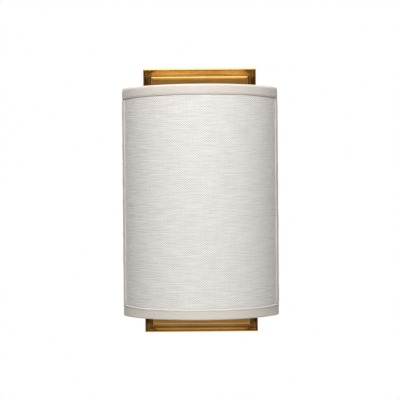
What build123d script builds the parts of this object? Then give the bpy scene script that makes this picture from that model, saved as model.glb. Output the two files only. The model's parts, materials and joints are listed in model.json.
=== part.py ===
from build123d import *
import os
from math import radians, sqrt, tan

# Wall light with a stepped brass backplate and a curved linen half shade.
# All sizes are in millimetres. The wall is the plane Y = 0, the light stands out from it
# towards -Y, X runs to the right as seen from the room and Z runs up. The origin is the
# centre of the backplate on the wall, midway between the junction box screws.
# A "depth" below is a distance from the wall, so a depth d lies at Y = -d.

# ---------------------------------------------------------------- driving sizes: backplate
plate_width = 152.4
plate_height = 355.6
plate_depth = 13.0  # wall to the front of the lip
sheet_thickness = 1.2  # pressed brass-plated sheet
lip_width = 1.4
border_width = 10.4  # plate edge to the side of the raised panel
groove_width = 1.8  # flat strip between the cove and the panel
cove_drop = 5.0  # front of the lip down to the groove
flange_width = 7.0  # ledge under the panel's rim
panel_rise = 3.0  # panel front beyond the lip
panel_edge_radius = 1.1
plate_edge_radius = 0.4

# ---------------------------------------------------------------- driving sizes: shade
shade_width = 210.0  # corner to corner, before the tapes' corners are rounded
shade_height = 304.8
shade_projection = 101.6  # wall to the front of the shade
shade_back_gap = 28.8  # wall to the shade's rear edges
shade_drop = 1.6  # centre of the shade below the centre of the plate
wire_diameter = 3.0
side_wire_diameter = 2.6
liner_thickness = 0.5
linen_thickness = 0.6
tape_thickness = 1.0
binding_thickness = 0.7
trim_height = 14.0
trim_inner_leg = 10.0
binding_width = 13.0
binding_inner_leg = 9.0
glue_gap = 0.1
tape_corner_radius = 1.5

# ---------------------------------------------------------------- driving sizes: shade fixing
crossbar_width = 10.0
crossbar_thickness = 1.5
crossbar_below_leg = 1.4  # under the trim's inner leg
crossbar_set_back = 0.5  # bar's rear edge in front of the rings' rear ends
bar_clearance = 0.3
arm_width = 16.0
arm_thickness = 2.0
arm_foot_height = 24.0
arm_corner_radius = 3.0
arm_front_margin = 7.0  # arm beyond its stud
arm_stud_diameter = 4.0
arm_stud_setback = 4.0  # crossbar's rear edge to the stud's axis
arm_stud_overrun = 1.2  # stud end beyond the nut
slot_clearance = 0.3
seat_gap = 0.1  # paint between arm and crossbar
thumb_nut_gap = 0.3
thumb_nut_diameter = 12.0
thumb_nut_head = 5.5
thumb_nut_collar = 1.5
thumb_nut_collar_diameter = 8.4
knurl_count = 24
knurl_radius = 0.5

# ---------------------------------------------------------------- driving sizes: wall fixing
strap_width = 22.0
strap_length = 127.0
strap_thickness = 2.0
strap_corner_radius = 3.0
strap_centre_hole = 10.0
box_screw_spacing = 79.4
box_slot_length = 14.0
box_slot_width = 4.5
canopy_stud_spacing = 114.3
canopy_stud_diameter = 4.0
canopy_stud_in_cap = 6.0  # stud beyond the panel's front
lock_nut_width = 7.0
lock_nut_height = 3.0
cap_nut_diameter = 9.5
cap_nut_skirt = 3.0
cap_nut_bore_depth = 6.5
ground_screw_height = 18.0  # above the centre of the strap
ground_screw_diameter = 4.0
ground_head_diameter = 9.0
ground_head_height = 2.6
thread_clearance = 0.05  # radial, in threaded and pressed pairs
hole_clearance = 0.3  # radial, round plain shanks

# ---------------------------------------------------------------- driving sizes: lamp bracket
bracket_width = 100.0
bracket_thickness = 1.5
bracket_flange = 20.0  # upright flange on the panel
bracket_reach = 46.0  # panel to the front of the shelf
bracket_lip = 7.0  # turned down at the front
bracket_corner_radius = 4.0
shelf_below_centre = 86.0  # plate centre to the top of the shelf
screw_diameter = 3.0
screw_head_diameter = 5.6
screw_head_height = 2.0
screw_slot_width = 0.8
screw_slot_depth = 0.9
screw_nut_width = 5.5
screw_nut_height = 2.4
screw_overrun = 1.0  # screw end beyond its nut
arm_screw_pitch = 10.0
arm_screw_margin = 7.0  # foot's free end to its first screw
bracket_screw_spacing = 60.0
bracket_screw_margin = 8.0  # flange's top edge to its screws

# ---------------------------------------------------------------- driving sizes: lamp holders and bulbs
lamp_spacing = 76.0  # between the two bulbs
lamp_stand_off = 29.0  # panel to the bulbs' axes
holder_diameter = 20.0
holder_rim = 1.0
holder_nipple_depth = 8.0
holder_floor = 4.0
nipple_diameter = 9.6
nipple_bore = 7.0
nipple_below_shelf = 9.0
nipple_nut_width = 14.0
nipple_nut_height = 3.0
shell_wall = 0.35
shell_base = 0.5
thread_pitch = 2.54
thread_turns = 5
thread_crest_diameter = 11.7
thread_height = 0.4
lamp_clearance = 0.3  # between a bulb and its holder
contact_diameter = 4.4
contact_height = 1.8
cap_wall = 0.3
cap_neck = 1.2  # plain cap above the thread
cap_collar_diameter = 13.6
cap_collar_height = 3.0
tip_diameter = 5.2
tip_height = 2.4
tip_taper = 1.4
bulb_diameter = 35.0
bulb_length = 100.0  # tip contact to the end of the glass
bulb_wall = 0.9
bulb_widest_at = 31.0  # collar to the widest point
bulb_shoulder_diameter = 18.0
bulb_shoulder_below_end = 13.7  # end of the glass down to the shoulder of the flame shape
bulb_end_diameter = 5.0

# ---------------------------------------------------------------- driving sizes: leads
lead_diameter = 2.2
lead_offset = 1.35  # from the middle of the nipple
lead_drop = 6.0  # nipple's end to the middle of the two bends
lead_bend_step = 1.3  # from there up or down to each bend
lead_run_in = 15.0  # straight run in front of the panel
bushing_below_shelf = 20.0
bushing_bore = 10.0
bushing_wall = 1.2
bushing_flange_diameter = 16.0
bushing_flange = 1.5
bushing_row_offset = 1.7  # middle of the bushing to each row of leads
connector_offset = 17.0  # middle of the plate to each wire connector
connector_mouth = 11.0
connector_tip = 7.0
connector_length = 17.0
connector_above_bushing = 26.0
connector_depth = 7.5  # wall to the connectors' axes
lead_depth_step = 1.9  # connector's axis to the leads' plane
lead_run_out = 9.0  # straight run into the connector
bend_share = 0.45  # tangent length of a bend as a share of its shorter run

# ---------------------------------------------------------------- places: backplate
panel_front = plate_depth + panel_rise
panel_back = panel_front - sheet_thickness
groove_front = plate_depth - cove_drop
groove_back = groove_front - sheet_thickness
panel_width = plate_width - 2 * border_width
panel_height = plate_height - 2 * border_width
cove_width = border_width - groove_width - lip_width
cove_radius = (cove_width**2 + cove_drop**2) / (2 * cove_drop)
cove_back_radius = cove_radius + sheet_thickness
cove_back_width = cove_width + lip_width - sheet_thickness
cove_back_rise = cove_back_radius - sqrt(cove_back_radius**2 - cove_back_width**2)
upright_section = Plane(origin=(0, 0, 0), x_dir=(0, 0, 1), z_dir=(-1, 0, 0))

# ---------------------------------------------------------------- places: shade
shade_top = shade_height / 2 - shade_drop
shade_bottom = -shade_height / 2 - shade_drop
shade_sagitta = shade_projection - shade_back_gap
shade_radius = ((shade_width / 2) ** 2 + shade_sagitta**2) / (2 * shade_sagitta)
shade_axis_y = shade_radius - shade_projection

cavity_outer_radius = shade_radius - tape_thickness
linen_outer_radius = cavity_outer_radius - glue_gap
liner_outer_radius = linen_outer_radius - linen_thickness
liner_inner_radius = liner_outer_radius - liner_thickness
ring_radius = liner_inner_radius - glue_gap - wire_diameter / 2
cavity_inner_radius = ring_radius - wire_diameter / 2 - glue_gap
cavity_back = shade_back_gap + tape_thickness
ring_back = cavity_back + glue_gap
side_wire_depth = ring_back + wire_diameter / 2
side_wire_x = sqrt(ring_radius**2 - (side_wire_depth + shade_axis_y) ** 2)
sheet_top = shade_top - tape_thickness - glue_gap
sheet_bottom = shade_bottom + tape_thickness + glue_gap
top_ring_z = sheet_top - wire_diameter / 2
bottom_ring_z = sheet_bottom + wire_diameter / 2

crossbar_rear = ring_back + crossbar_set_back
upper_bar_z = shade_top - trim_inner_leg - crossbar_below_leg - crossbar_thickness
lower_bar_z = shade_bottom + trim_inner_leg + crossbar_below_leg
arm_stud_depth = crossbar_rear + arm_stud_setback
arm_reach = arm_stud_depth + arm_front_margin
upper_arm_outer_z = upper_bar_z - seat_gap
lower_arm_outer_z = lower_bar_z + crossbar_thickness + seat_gap
thumb_nut_height = thumb_nut_collar + thumb_nut_head
upper_nut_z = upper_bar_z + crossbar_thickness + thumb_nut_gap
lower_nut_z = lower_bar_z - thumb_nut_gap
bar_stack = seat_gap + crossbar_thickness + thumb_nut_gap
arm_stud_length = arm_thickness + bar_stack + thumb_nut_height + arm_stud_overrun

# ---------------------------------------------------------------- places: lamp bracket, lamps and leads
shelf_top = -shelf_below_centre
shelf_bottom = shelf_top - bracket_thickness
lamp_depth = panel_front + lamp_stand_off
lamp_sides = (("left", -1), ("right", 1))
nipple_radius = nipple_diameter / 2
nipple_bottom = shelf_bottom - nipple_below_shelf
nipple_top = shelf_top + holder_nipple_depth
holder_base = nipple_top + holder_floor
contact_top = holder_base + contact_height
bulb_bottom = contact_top + lamp_clearance
cap_bottom = bulb_bottom + tip_height
thread_top = cap_bottom + thread_turns * thread_pitch
collar_bottom = thread_top + cap_neck
collar_top = collar_bottom + cap_collar_height
holder_top = collar_bottom - lamp_clearance
shell_top = holder_top - lamp_clearance
bulb_top = bulb_bottom + bulb_length
thread_crest_radius = thread_crest_diameter / 2
thread_root_radius = thread_crest_radius - thread_height
collar_radius = cap_collar_diameter / 2
bulb_neck_radius = collar_radius - cap_wall - thread_clearance
shell_outer_radius = thread_crest_radius + lamp_clearance + shell_wall
bushing_z = shelf_bottom - bushing_below_shelf
bushing_outer_radius = bushing_bore / 2 + bushing_wall
connector_z = bushing_z + connector_above_bushing
screw_back = panel_back - screw_nut_height - screw_overrun

upper_foot_end = upper_arm_outer_z - arm_foot_height
lower_foot_end = lower_arm_outer_z + arm_foot_height
upper_arm_screws = [(0, upper_foot_end + arm_screw_margin + step * arm_screw_pitch) for step in (0, 1)]
lower_arm_screws = [(0, lower_foot_end - arm_screw_margin - step * arm_screw_pitch) for step in (0, 1)]
bracket_screws_z = shelf_bottom + bracket_flange - bracket_screw_margin
bracket_screws = [(side * bracket_screw_spacing / 2, bracket_screws_z) for side in (-1, 1)]
canopy_studs_at = [(0, side * canopy_stud_spacing / 2) for side in (-1, 1)]
box_slots_at = [(0, side * box_screw_spacing / 2) for side in (-1, 1)]


def draw_plate_front(half_span):
    """Draws a dished plate's outline on one side: groove, cove, lip and outer side."""
    cove_foot = half_span - border_width + groove_width
    Line((0, -groove_front), (cove_foot, -groove_front))
    TangentArc((cove_foot, -groove_front), (half_span - lip_width, -plate_depth), tangent=(1, 0))
    Polyline((half_span - lip_width, -plate_depth), (half_span, -plate_depth), (half_span, 0), (0, 0))


def draw_plate_back(half_span):
    """Draws the hollow behind that front, one sheet thickness inside it."""
    cove_foot = half_span - border_width + groove_width
    side = half_span - sheet_thickness
    cove_end = -groove_back - cove_back_rise
    Line((0, -groove_back), (cove_foot, -groove_back))
    TangentArc((cove_foot, -groove_back), (side, cove_end), tangent=(1, 0))
    Polyline((side, cove_end), (side, 0), (0, 0))


def draw_shade_band(outer_radius, inner_radius, rear_depth):
    """Draws the part of a ring round the shade's axis that lies in front of a depth."""
    with Locations((0, shade_axis_y)):
        Circle(outer_radius)
        Circle(inner_radius, mode=Mode.SUBTRACT)
    with Locations((0, -rear_depth)):
        Rectangle(4 * outer_radius, 4 * outer_radius, align=(Align.CENTER, Align.MAX), mode=Mode.INTERSECT)


def lamp_plane(side):
    """Gives the upright plane through a lamp's axis, whose own X is the radius."""
    return Plane(origin=(side * lamp_spacing / 2, -lamp_depth, 0), x_dir=(1, 0, 0), z_dir=(0, -1, 0))


def lamp_axis(side):
    """Gives the upright axis of a lamp."""
    return Axis((side * lamp_spacing / 2, -lamp_depth, 0), (0, 0, 1))


def thread_outline(offset_out):
    """Lists a zigzag thread's points from the cap's bottom to the thread's top."""
    points = []
    for turn in range(thread_turns):
        foot = cap_bottom + turn * thread_pitch
        points.append((thread_root_radius + offset_out, foot))
        points.append((thread_crest_radius + offset_out, foot + thread_pitch / 2))
    points.append((thread_root_radius + offset_out, thread_top))
    return points


def draw_bulb(inset):
    """Draws half a flame-shaped glass from its neck to its end, drawn in by an inset."""
    neck = bulb_neck_radius - inset
    foot = collar_bottom + cap_wall
    Line((0, foot), (neck, foot))
    Line((neck, foot), (neck, collar_top))
    widest = (bulb_diameter / 2 - inset, collar_bottom + bulb_widest_at)
    Spline((neck, collar_top), widest, tangents=[(0, 1), (0, 1)])
    Spline(
        widest,
        (bulb_shoulder_diameter / 2 - inset, bulb_top - bulb_shoulder_below_end),
        (bulb_end_diameter / 2 - inset, bulb_top - bulb_end_diameter / 2),
        tangents=[(0, 1), (0, 1)],
    )
    CenterArc((0, bulb_top - bulb_end_diameter / 2), bulb_end_diameter / 2 - inset, 0, 90)
    Line((0, bulb_top - inset), (0, foot))


def bend_radii(points):
    """Gives each bend's radius: its tangent length is a fixed share of its shorter run."""
    corners = [Vector(*point) for point in points]
    radii = []
    for before, corner, after in zip(corners, corners[1:], corners[2:]):
        run_in = corner - before
        run_out = after - corner
        half_turn = radians(run_in.get_angle(run_out) / 2)
        radii.append(bend_share * min(run_in.length, run_out.length) / tan(half_turn))
    return radii


def lead_route(side, row):
    """Lists a lead's points from its lamp holder to its connector; row is 1 for live, -1 for neutral."""
    lamp_x = side * lamp_spacing / 2
    lamp_y = -lamp_depth - row * lead_offset
    bend_z = nipple_bottom - lead_drop + row * lead_bend_step
    row_z = bushing_z + row * bushing_row_offset
    column_x = side * bushing_row_offset
    inside_y = -connector_depth - row * lead_depth_step
    end_x = column_x - row * connector_offset
    return [
        (lamp_x, lamp_y, nipple_top - glue_gap),
        (lamp_x, lamp_y, bend_z),
        (column_x, -panel_front - lead_run_in, row_z),
        (column_x, inside_y, row_z),
        (end_x, inside_y, connector_z - lead_run_out),
        (end_x, inside_y, connector_z),
    ]


os.makedirs("parts", exist_ok=True)

# ---------------------------------------------------------------- backplate: pressed outer frame
plate_sections = (
    (Plane.XY, plate_width / 2, plate_height / 2),
    (upright_section, plate_height / 2, plate_width / 2),
)
with BuildPart() as backplate_frame:
    for section_plane, half_span, half_run in plate_sections:
        with BuildSketch(section_plane):
            with BuildLine():
                draw_plate_front(half_span)
                mirror(about=Plane.YZ)
            make_face()
        extrude(amount=half_run, both=True)
    for section_plane, half_span, half_run in plate_sections:
        with BuildSketch(section_plane):
            with BuildLine():
                draw_plate_back(half_span)
                mirror(about=Plane.YZ)
            make_face()
        extrude(amount=half_run - sheet_thickness, both=True, mode=Mode.SUBTRACT)
    with BuildSketch(Plane.XZ):
        Rectangle(panel_width - 2 * flange_width, panel_height - 2 * flange_width)
    extrude(amount=plate_depth, mode=Mode.SUBTRACT)
    fillet(backplate_frame.edges().filter_by(Axis.Y).group_by(SortBy.LENGTH)[-1], plate_edge_radius)
    fillet(backplate_frame.faces().sort_by(Axis.Y)[0].outer_wire().edges(), plate_edge_radius)
backplate_frame.part.label = "backplate_frame"
export_step(backplate_frame.part, "parts/backplate_frame.step")

# ---------------------------------------------------------------- backplate: raised panel, a shallow tray
with BuildPart() as backplate_panel:
    with BuildSketch(Plane.XZ.offset(groove_front)):
        Rectangle(panel_width, panel_height)
    extrude(amount=panel_front - groove_front)
    fillet(backplate_panel.edges().filter_by(Axis.Y), panel_edge_radius)
    fillet(backplate_panel.faces().sort_by(Axis.Y)[0].edges(), panel_edge_radius)
    with BuildSketch(Plane.XZ.offset(groove_front)):
        Rectangle(panel_width - 2 * sheet_thickness, panel_height - 2 * sheet_thickness)
    extrude(amount=panel_back - groove_front, mode=Mode.SUBTRACT)
    with BuildSketch(Plane.XZ.offset(panel_back)):
        with Locations(*canopy_studs_at):
            Circle(canopy_stud_diameter / 2 + hole_clearance)
        with Locations(*upper_arm_screws, *lower_arm_screws, *bracket_screws):
            Circle(screw_diameter / 2 + hole_clearance)
        with Locations((0, bushing_z)):
            Circle(bushing_outer_radius + thread_clearance)
    extrude(amount=sheet_thickness, mode=Mode.SUBTRACT)
backplate_panel.part.label = "backplate_panel"
export_step(backplate_panel.part, "parts/backplate_panel.step")

# ---------------------------------------------------------------- wall fixing
with BuildPart() as mounting_strap:
    with BuildSketch(Plane.XZ):
        RectangleRounded(strap_width, strap_length, strap_corner_radius)
        with Locations(*box_slots_at):
            SlotOverall(box_slot_length, box_slot_width, rotation=90, mode=Mode.SUBTRACT)
        with Locations(*canopy_studs_at):
            Circle(canopy_stud_diameter / 2 + thread_clearance, mode=Mode.SUBTRACT)
        with Locations((0, ground_screw_height)):
            Circle(ground_screw_diameter / 2 + thread_clearance, mode=Mode.SUBTRACT)
        Circle(strap_centre_hole / 2, mode=Mode.SUBTRACT)
    extrude(amount=strap_thickness)
mounting_strap.part.label = "mounting_strap"
export_step(mounting_strap.part, "parts/mounting_strap.step")

with BuildPart() as ground_screw:
    with BuildSketch(Plane.XZ):
        with Locations((0, ground_screw_height)):
            Circle(ground_screw_diameter / 2)
    extrude(amount=strap_thickness)
    with BuildSketch(Plane.XZ.offset(strap_thickness)):
        with Locations((0, ground_screw_height)):
            RegularPolygon(ground_head_diameter / 2, 6)
    extrude(amount=ground_head_height)
    with BuildSketch(Plane.XZ.offset(strap_thickness + ground_head_height)):
        with Locations((0, ground_screw_height)):
            Rectangle(ground_head_diameter, screw_slot_width)
    extrude(amount=-screw_slot_depth, mode=Mode.SUBTRACT)
ground_screw.part.label = "ground_screw"
export_step(ground_screw.part, "parts/ground_screw.step")

with BuildPart() as canopy_studs:
    with BuildSketch(Plane.XZ):
        with Locations(*canopy_studs_at):
            Circle(canopy_stud_diameter / 2)
    extrude(amount=panel_front + canopy_stud_in_cap)
canopy_studs.part.label = "canopy_studs"
export_step(canopy_studs.part, "parts/canopy_studs.step")

with BuildPart() as strap_lock_nuts:
    with BuildSketch(Plane.XZ.offset(strap_thickness)):
        with Locations(*canopy_studs_at):
            RegularPolygon(lock_nut_width / 2, 6, major_radius=False)
            Circle(canopy_stud_diameter / 2 + thread_clearance, mode=Mode.SUBTRACT)
    extrude(amount=lock_nut_height)
strap_lock_nuts.part.label = "strap_lock_nuts"
export_step(strap_lock_nuts.part, "parts/strap_lock_nuts.step")

with BuildPart() as cap_nuts:
    cap_nut_radius = cap_nut_diameter / 2
    cap_nut_bore = canopy_stud_diameter / 2 + thread_clearance
    cap_nut_shoulder = panel_front + cap_nut_skirt
    cap_nut_bore_end = panel_front + cap_nut_bore_depth
    for stud_x, stud_z in canopy_studs_at:
        with BuildSketch(Plane((stud_x, 0, stud_z), x_dir=(0, -1, 0), z_dir=(1, 0, 0))):
            with BuildLine():
                Polyline(
                    (panel_front, cap_nut_bore),
                    (panel_front, cap_nut_radius),
                    (cap_nut_shoulder, cap_nut_radius),
                )
                CenterArc((cap_nut_shoulder, 0), cap_nut_radius, 0, 90)
                Polyline(
                    (cap_nut_shoulder + cap_nut_radius, 0),
                    (cap_nut_bore_end, 0),
                    (cap_nut_bore_end, cap_nut_bore),
                    (panel_front, cap_nut_bore),
                )
            make_face()
        revolve(axis=Axis((stud_x, 0, stud_z), (0, -1, 0)))
cap_nuts.part.label = "cap_nuts"
export_step(cap_nuts.part, "parts/cap_nuts.step")


# ---------------------------------------------------------------- shade arms, studs and thumb nuts
def make_shade_arm(outer_z, inward, screw_places):
    """Makes an L-shaped strip; its leg's outer face lies at outer_z and its foot runs inward."""
    inner_z = outer_z + inward * arm_thickness
    with BuildPart() as arm:
        with BuildSketch(Plane.YZ):
            Polygon(
                (-panel_front, outer_z),
                (-arm_reach, outer_z),
                (-arm_reach, inner_z),
                (-panel_front - arm_thickness, inner_z),
                (-panel_front - arm_thickness, outer_z + inward * arm_foot_height),
                (-panel_front, outer_z + inward * arm_foot_height),
                align=None,
            )
        extrude(amount=arm_width / 2, both=True)
        fillet(arm.edges().filter_by(Axis.Z).group_by(Axis.Y)[0], arm_corner_radius)
        with BuildSketch(Plane.XY.offset(outer_z)):
            with Locations((0, -arm_stud_depth)):
                Circle(arm_stud_diameter / 2 + thread_clearance)
        extrude(amount=inward * arm_thickness, mode=Mode.SUBTRACT)
        with BuildSketch(Plane.XZ.offset(panel_front)):
            with Locations(*screw_places):
                Circle(screw_diameter / 2 + hole_clearance)
        extrude(amount=arm_thickness, mode=Mode.SUBTRACT)
    return arm


def make_arm_stud(inner_z, outward):
    """Makes a stud from its arm's inner face outward."""
    with BuildPart() as stud:
        with BuildSketch(Plane.XY.offset(inner_z)):
            with Locations((0, -arm_stud_depth)):
                Circle(arm_stud_diameter / 2)
        extrude(amount=outward * arm_stud_length)
    return stud


def make_thumb_nut(collar_z, outward):
    """Makes a knurled nut whose collar starts at collar_z and whose head lies outward."""
    with BuildPart() as nut:
        with BuildSketch(Plane.XY.offset(collar_z)):
            with Locations((0, -arm_stud_depth)):
                Circle(thumb_nut_collar_diameter / 2)
        extrude(amount=outward * thumb_nut_collar)
        with BuildSketch(Plane.XY.offset(collar_z + outward * thumb_nut_collar)):
            with Locations((0, -arm_stud_depth)):
                Circle(thumb_nut_diameter / 2)
                with PolarLocations(thumb_nut_diameter / 2, knurl_count):
                    Circle(knurl_radius, mode=Mode.SUBTRACT)
        extrude(amount=outward * thumb_nut_head)
        with BuildSketch(Plane.XY.offset(collar_z)):
            with Locations((0, -arm_stud_depth)):
                Circle(arm_stud_diameter / 2 + thread_clearance)
        extrude(amount=outward * thumb_nut_height, mode=Mode.SUBTRACT)
    return nut


shade_fixings = (
    ("upper", 1, upper_arm_outer_z, upper_nut_z, upper_arm_screws),
    ("lower", -1, lower_arm_outer_z, lower_nut_z, lower_arm_screws),
)
for level, outward, arm_outer_z, nut_z, arm_screws in shade_fixings:
    shade_arm = make_shade_arm(arm_outer_z, -outward, arm_screws)
    shade_arm.part.label = f"{level}_shade_arm"
    export_step(shade_arm.part, f"parts/{level}_shade_arm.step")

    arm_stud = make_arm_stud(arm_outer_z - outward * arm_thickness, outward)
    arm_stud.part.label = f"{level}_arm_stud"
    export_step(arm_stud.part, f"parts/{level}_arm_stud.step")

    thumb_nut = make_thumb_nut(nut_z, outward)
    thumb_nut.part.label = f"{level}_thumb_nut"
    export_step(thumb_nut.part, f"parts/{level}_thumb_nut.step")

# ---------------------------------------------------------------- lamp bracket and its fasteners
with BuildPart() as lamp_bracket:
    bracket_front = -panel_front - bracket_reach
    with BuildSketch(Plane.YZ):
        Polygon(
            (-panel_front, shelf_bottom + bracket_flange),
            (-panel_front, shelf_bottom),
            (bracket_front + bracket_thickness, shelf_bottom),
            (bracket_front + bracket_thickness, shelf_bottom - bracket_lip),
            (bracket_front, shelf_bottom - bracket_lip),
            (bracket_front, shelf_top),
            (-panel_front - bracket_thickness, shelf_top),
            (-panel_front - bracket_thickness, shelf_bottom + bracket_flange),
            align=None,
        )
    extrude(amount=bracket_width / 2, both=True)
    fillet(lamp_bracket.edges().filter_by(Axis.Y).group_by(Axis.Z)[-1], bracket_corner_radius)
    fillet(lamp_bracket.edges().filter_by(Axis.Y).group_by(Axis.Z)[0], bracket_corner_radius)
    with BuildSketch(Plane.XZ.offset(panel_front)):
        with Locations(*bracket_screws):
            Circle(screw_diameter / 2 + hole_clearance)
    extrude(amount=bracket_thickness, mode=Mode.SUBTRACT)
    with BuildSketch(Plane.XY.offset(shelf_bottom)):
        with Locations(*[(side * lamp_spacing / 2, -lamp_depth) for name, side in lamp_sides]):
            Circle(nipple_radius + hole_clearance)
    extrude(amount=bracket_thickness, mode=Mode.SUBTRACT)
lamp_bracket.part.label = "lamp_bracket"
export_step(lamp_bracket.part, "parts/lamp_bracket.step")

screw_seats = (
    (upper_arm_screws + lower_arm_screws, panel_front + arm_thickness),
    (bracket_screws, panel_front + bracket_thickness),
)
with BuildPart() as panel_screws:
    for places, seat_depth in screw_seats:
        with BuildSketch(Plane.XZ.offset(screw_back)):
            with Locations(*places):
                Circle(screw_diameter / 2)
        extrude(amount=seat_depth - screw_back)
        with BuildSketch(Plane.XZ.offset(seat_depth)):
            with Locations(*places):
                Circle(screw_head_diameter / 2)
        extrude(amount=screw_head_height)
        with BuildSketch(Plane.XZ.offset(seat_depth + screw_head_height)):
            with Locations(*places):
                Rectangle(screw_head_diameter, screw_slot_width)
        extrude(amount=-screw_slot_depth, mode=Mode.SUBTRACT)
panel_screws.part.label = "panel_screws"
export_step(panel_screws.part, "parts/panel_screws.step")

with BuildPart() as panel_nuts:
    with BuildSketch(Plane.XZ.offset(panel_back - screw_nut_height)):
        with Locations(*upper_arm_screws, *lower_arm_screws, *bracket_screws):
            RegularPolygon(screw_nut_width / 2, 6, major_radius=False)
            Circle(screw_diameter / 2 + thread_clearance, mode=Mode.SUBTRACT)
    extrude(amount=screw_nut_height)
panel_nuts.part.label = "panel_nuts"
export_step(panel_nuts.part, "parts/panel_nuts.step")

# ---------------------------------------------------------------- lamp holders
for side_name, side in lamp_sides:
    with BuildPart() as lamp_holder:
        with BuildSketch(lamp_plane(side)):
            Polygon(
                (nipple_radius + thread_clearance, shelf_top),
                (holder_diameter / 2, shelf_top),
                (holder_diameter / 2, holder_top - holder_rim),
                (holder_diameter / 2 - holder_rim, holder_top),
                (shell_outer_radius + thread_clearance, holder_top),
                (shell_outer_radius + thread_clearance, holder_base),
                (0, holder_base),
                (0, nipple_top),
                (nipple_radius + thread_clearance, nipple_top),
                align=None,
            )
        revolve(axis=lamp_axis(side))
    lamp_holder.part.label = f"{side_name}_lamp_holder"
    export_step(lamp_holder.part, f"parts/{side_name}_lamp_holder.step")

    with BuildPart() as screw_shell:
        with BuildSketch(lamp_plane(side)):
            Polygon(
                (contact_diameter / 2 + 2 * lamp_clearance, holder_base),
                (shell_outer_radius, holder_base),
                (shell_outer_radius, shell_top),
                (thread_crest_radius + lamp_clearance, shell_top),
                *reversed(thread_outline(lamp_clearance)),
                (thread_root_radius + lamp_clearance, holder_base + shell_base),
                (contact_diameter / 2 + 2 * lamp_clearance, holder_base + shell_base),
                align=None,
            )
        revolve(axis=lamp_axis(side))
    screw_shell.part.label = f"{side_name}_screw_shell"
    export_step(screw_shell.part, f"parts/{side_name}_screw_shell.step")

with BuildPart() as centre_contacts:
    with BuildSketch(Plane.XY.offset(holder_base)):
        with Locations(*[(side * lamp_spacing / 2, -lamp_depth) for name, side in lamp_sides]):
            Circle(contact_diameter / 2)
    extrude(amount=contact_height)
centre_contacts.part.label = "centre_contacts"
export_step(centre_contacts.part, "parts/centre_contacts.step")

with BuildPart() as holder_nipples:
    with BuildSketch(Plane.XY.offset(nipple_bottom)):
        with Locations(*[(side * lamp_spacing / 2, -lamp_depth) for name, side in lamp_sides]):
            Circle(nipple_radius)
            Circle(nipple_bore / 2, mode=Mode.SUBTRACT)
    extrude(amount=nipple_top - nipple_bottom)
holder_nipples.part.label = "holder_nipples"
export_step(holder_nipples.part, "parts/holder_nipples.step")

with BuildPart() as nipple_nuts:
    with BuildSketch(Plane.XY.offset(shelf_bottom - nipple_nut_height)):
        with Locations(*[(side * lamp_spacing / 2, -lamp_depth) for name, side in lamp_sides]):
            RegularPolygon(nipple_nut_width / 2, 6, major_radius=False)
            Circle(nipple_radius + thread_clearance, mode=Mode.SUBTRACT)
    extrude(amount=nipple_nut_height)
nipple_nuts.part.label = "nipple_nuts"
export_step(nipple_nuts.part, "parts/nipple_nuts.step")

# ---------------------------------------------------------------- bulbs
for side_name, side in lamp_sides:
    with BuildPart() as bulb_glass:
        with BuildSketch(lamp_plane(side)):
            with BuildLine():
                draw_bulb(0)
            make_face()
        revolve(axis=lamp_axis(side))
        with BuildSketch(lamp_plane(side)):
            with BuildLine():
                draw_bulb(bulb_wall)
            make_face()
        revolve(axis=lamp_axis(side), mode=Mode.SUBTRACT)
    bulb_glass.part.label = f"{side_name}_bulb_glass"
    export_step(bulb_glass.part, f"parts/{side_name}_bulb_glass.step")

    with BuildPart() as bulb_cap:
        inner_radius = thread_root_radius - cap_wall
        with BuildSketch(lamp_plane(side)):
            Polygon(
                (tip_diameter / 2, cap_bottom),
                *thread_outline(0),
                (thread_root_radius, collar_bottom),
                (collar_radius, collar_bottom),
                (collar_radius, collar_top),
                (collar_radius - cap_wall, collar_top),
                (collar_radius - cap_wall, collar_bottom + cap_wall),
                (inner_radius, collar_bottom + cap_wall),
                (inner_radius, cap_bottom + cap_wall),
                (tip_diameter / 2, cap_bottom + cap_wall),
                align=None,
            )
        revolve(axis=lamp_axis(side))
    bulb_cap.part.label = f"{side_name}_bulb_cap"
    export_step(bulb_cap.part, f"parts/{side_name}_bulb_cap.step")

    with BuildPart() as bulb_tip:
        with BuildSketch(lamp_plane(side)):
            Polygon(
                (0, bulb_bottom),
                (tip_diameter / 2 - tip_taper, bulb_bottom),
                (tip_diameter / 2, cap_bottom),
                (tip_diameter / 2, cap_bottom + cap_wall),
                (0, cap_bottom + cap_wall),
                align=None,
            )
        revolve(axis=lamp_axis(side))
    bulb_tip.part.label = f"{side_name}_bulb_tip"
    export_step(bulb_tip.part, f"parts/{side_name}_bulb_tip.step")

# ---------------------------------------------------------------- bushing, leads and wire connectors
with BuildPart() as wire_bushing:
    with BuildSketch(Plane.XZ.offset(panel_back)):
        with Locations((0, bushing_z)):
            Circle(bushing_outer_radius)
            Circle(bushing_bore / 2, mode=Mode.SUBTRACT)
    extrude(amount=sheet_thickness)
    with BuildSketch(Plane.XZ.offset(panel_front)):
        with Locations((0, bushing_z)):
            Circle(bushing_flange_diameter / 2)
            Circle(bushing_bore / 2, mode=Mode.SUBTRACT)
    extrude(amount=bushing_flange)
wire_bushing.part.label = "wire_bushing"
export_step(wire_bushing.part, "parts/wire_bushing.step")

for lead_name, row in (("live", 1), ("neutral", -1)):
    with BuildPart() as leads:
        for side_name, side in lamp_sides:
            route_points = lead_route(side, row)
            radii = bend_radii(route_points)
            print(lead_name, side_name, "lead's bend radii", [round(radius, 1) for radius in radii])
            with BuildLine() as route:
                FilletPolyline(*route_points, radius=radii)
            print(lead_name, side_name, "lead's length", round(route.wire().length, 1))
            with BuildSketch(route.wire() ^ 0):
                Circle(lead_diameter / 2)
            sweep()
    leads.part.label = f"{lead_name}_leads"
    export_step(leads.part, f"parts/{lead_name}_leads.step")

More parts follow.
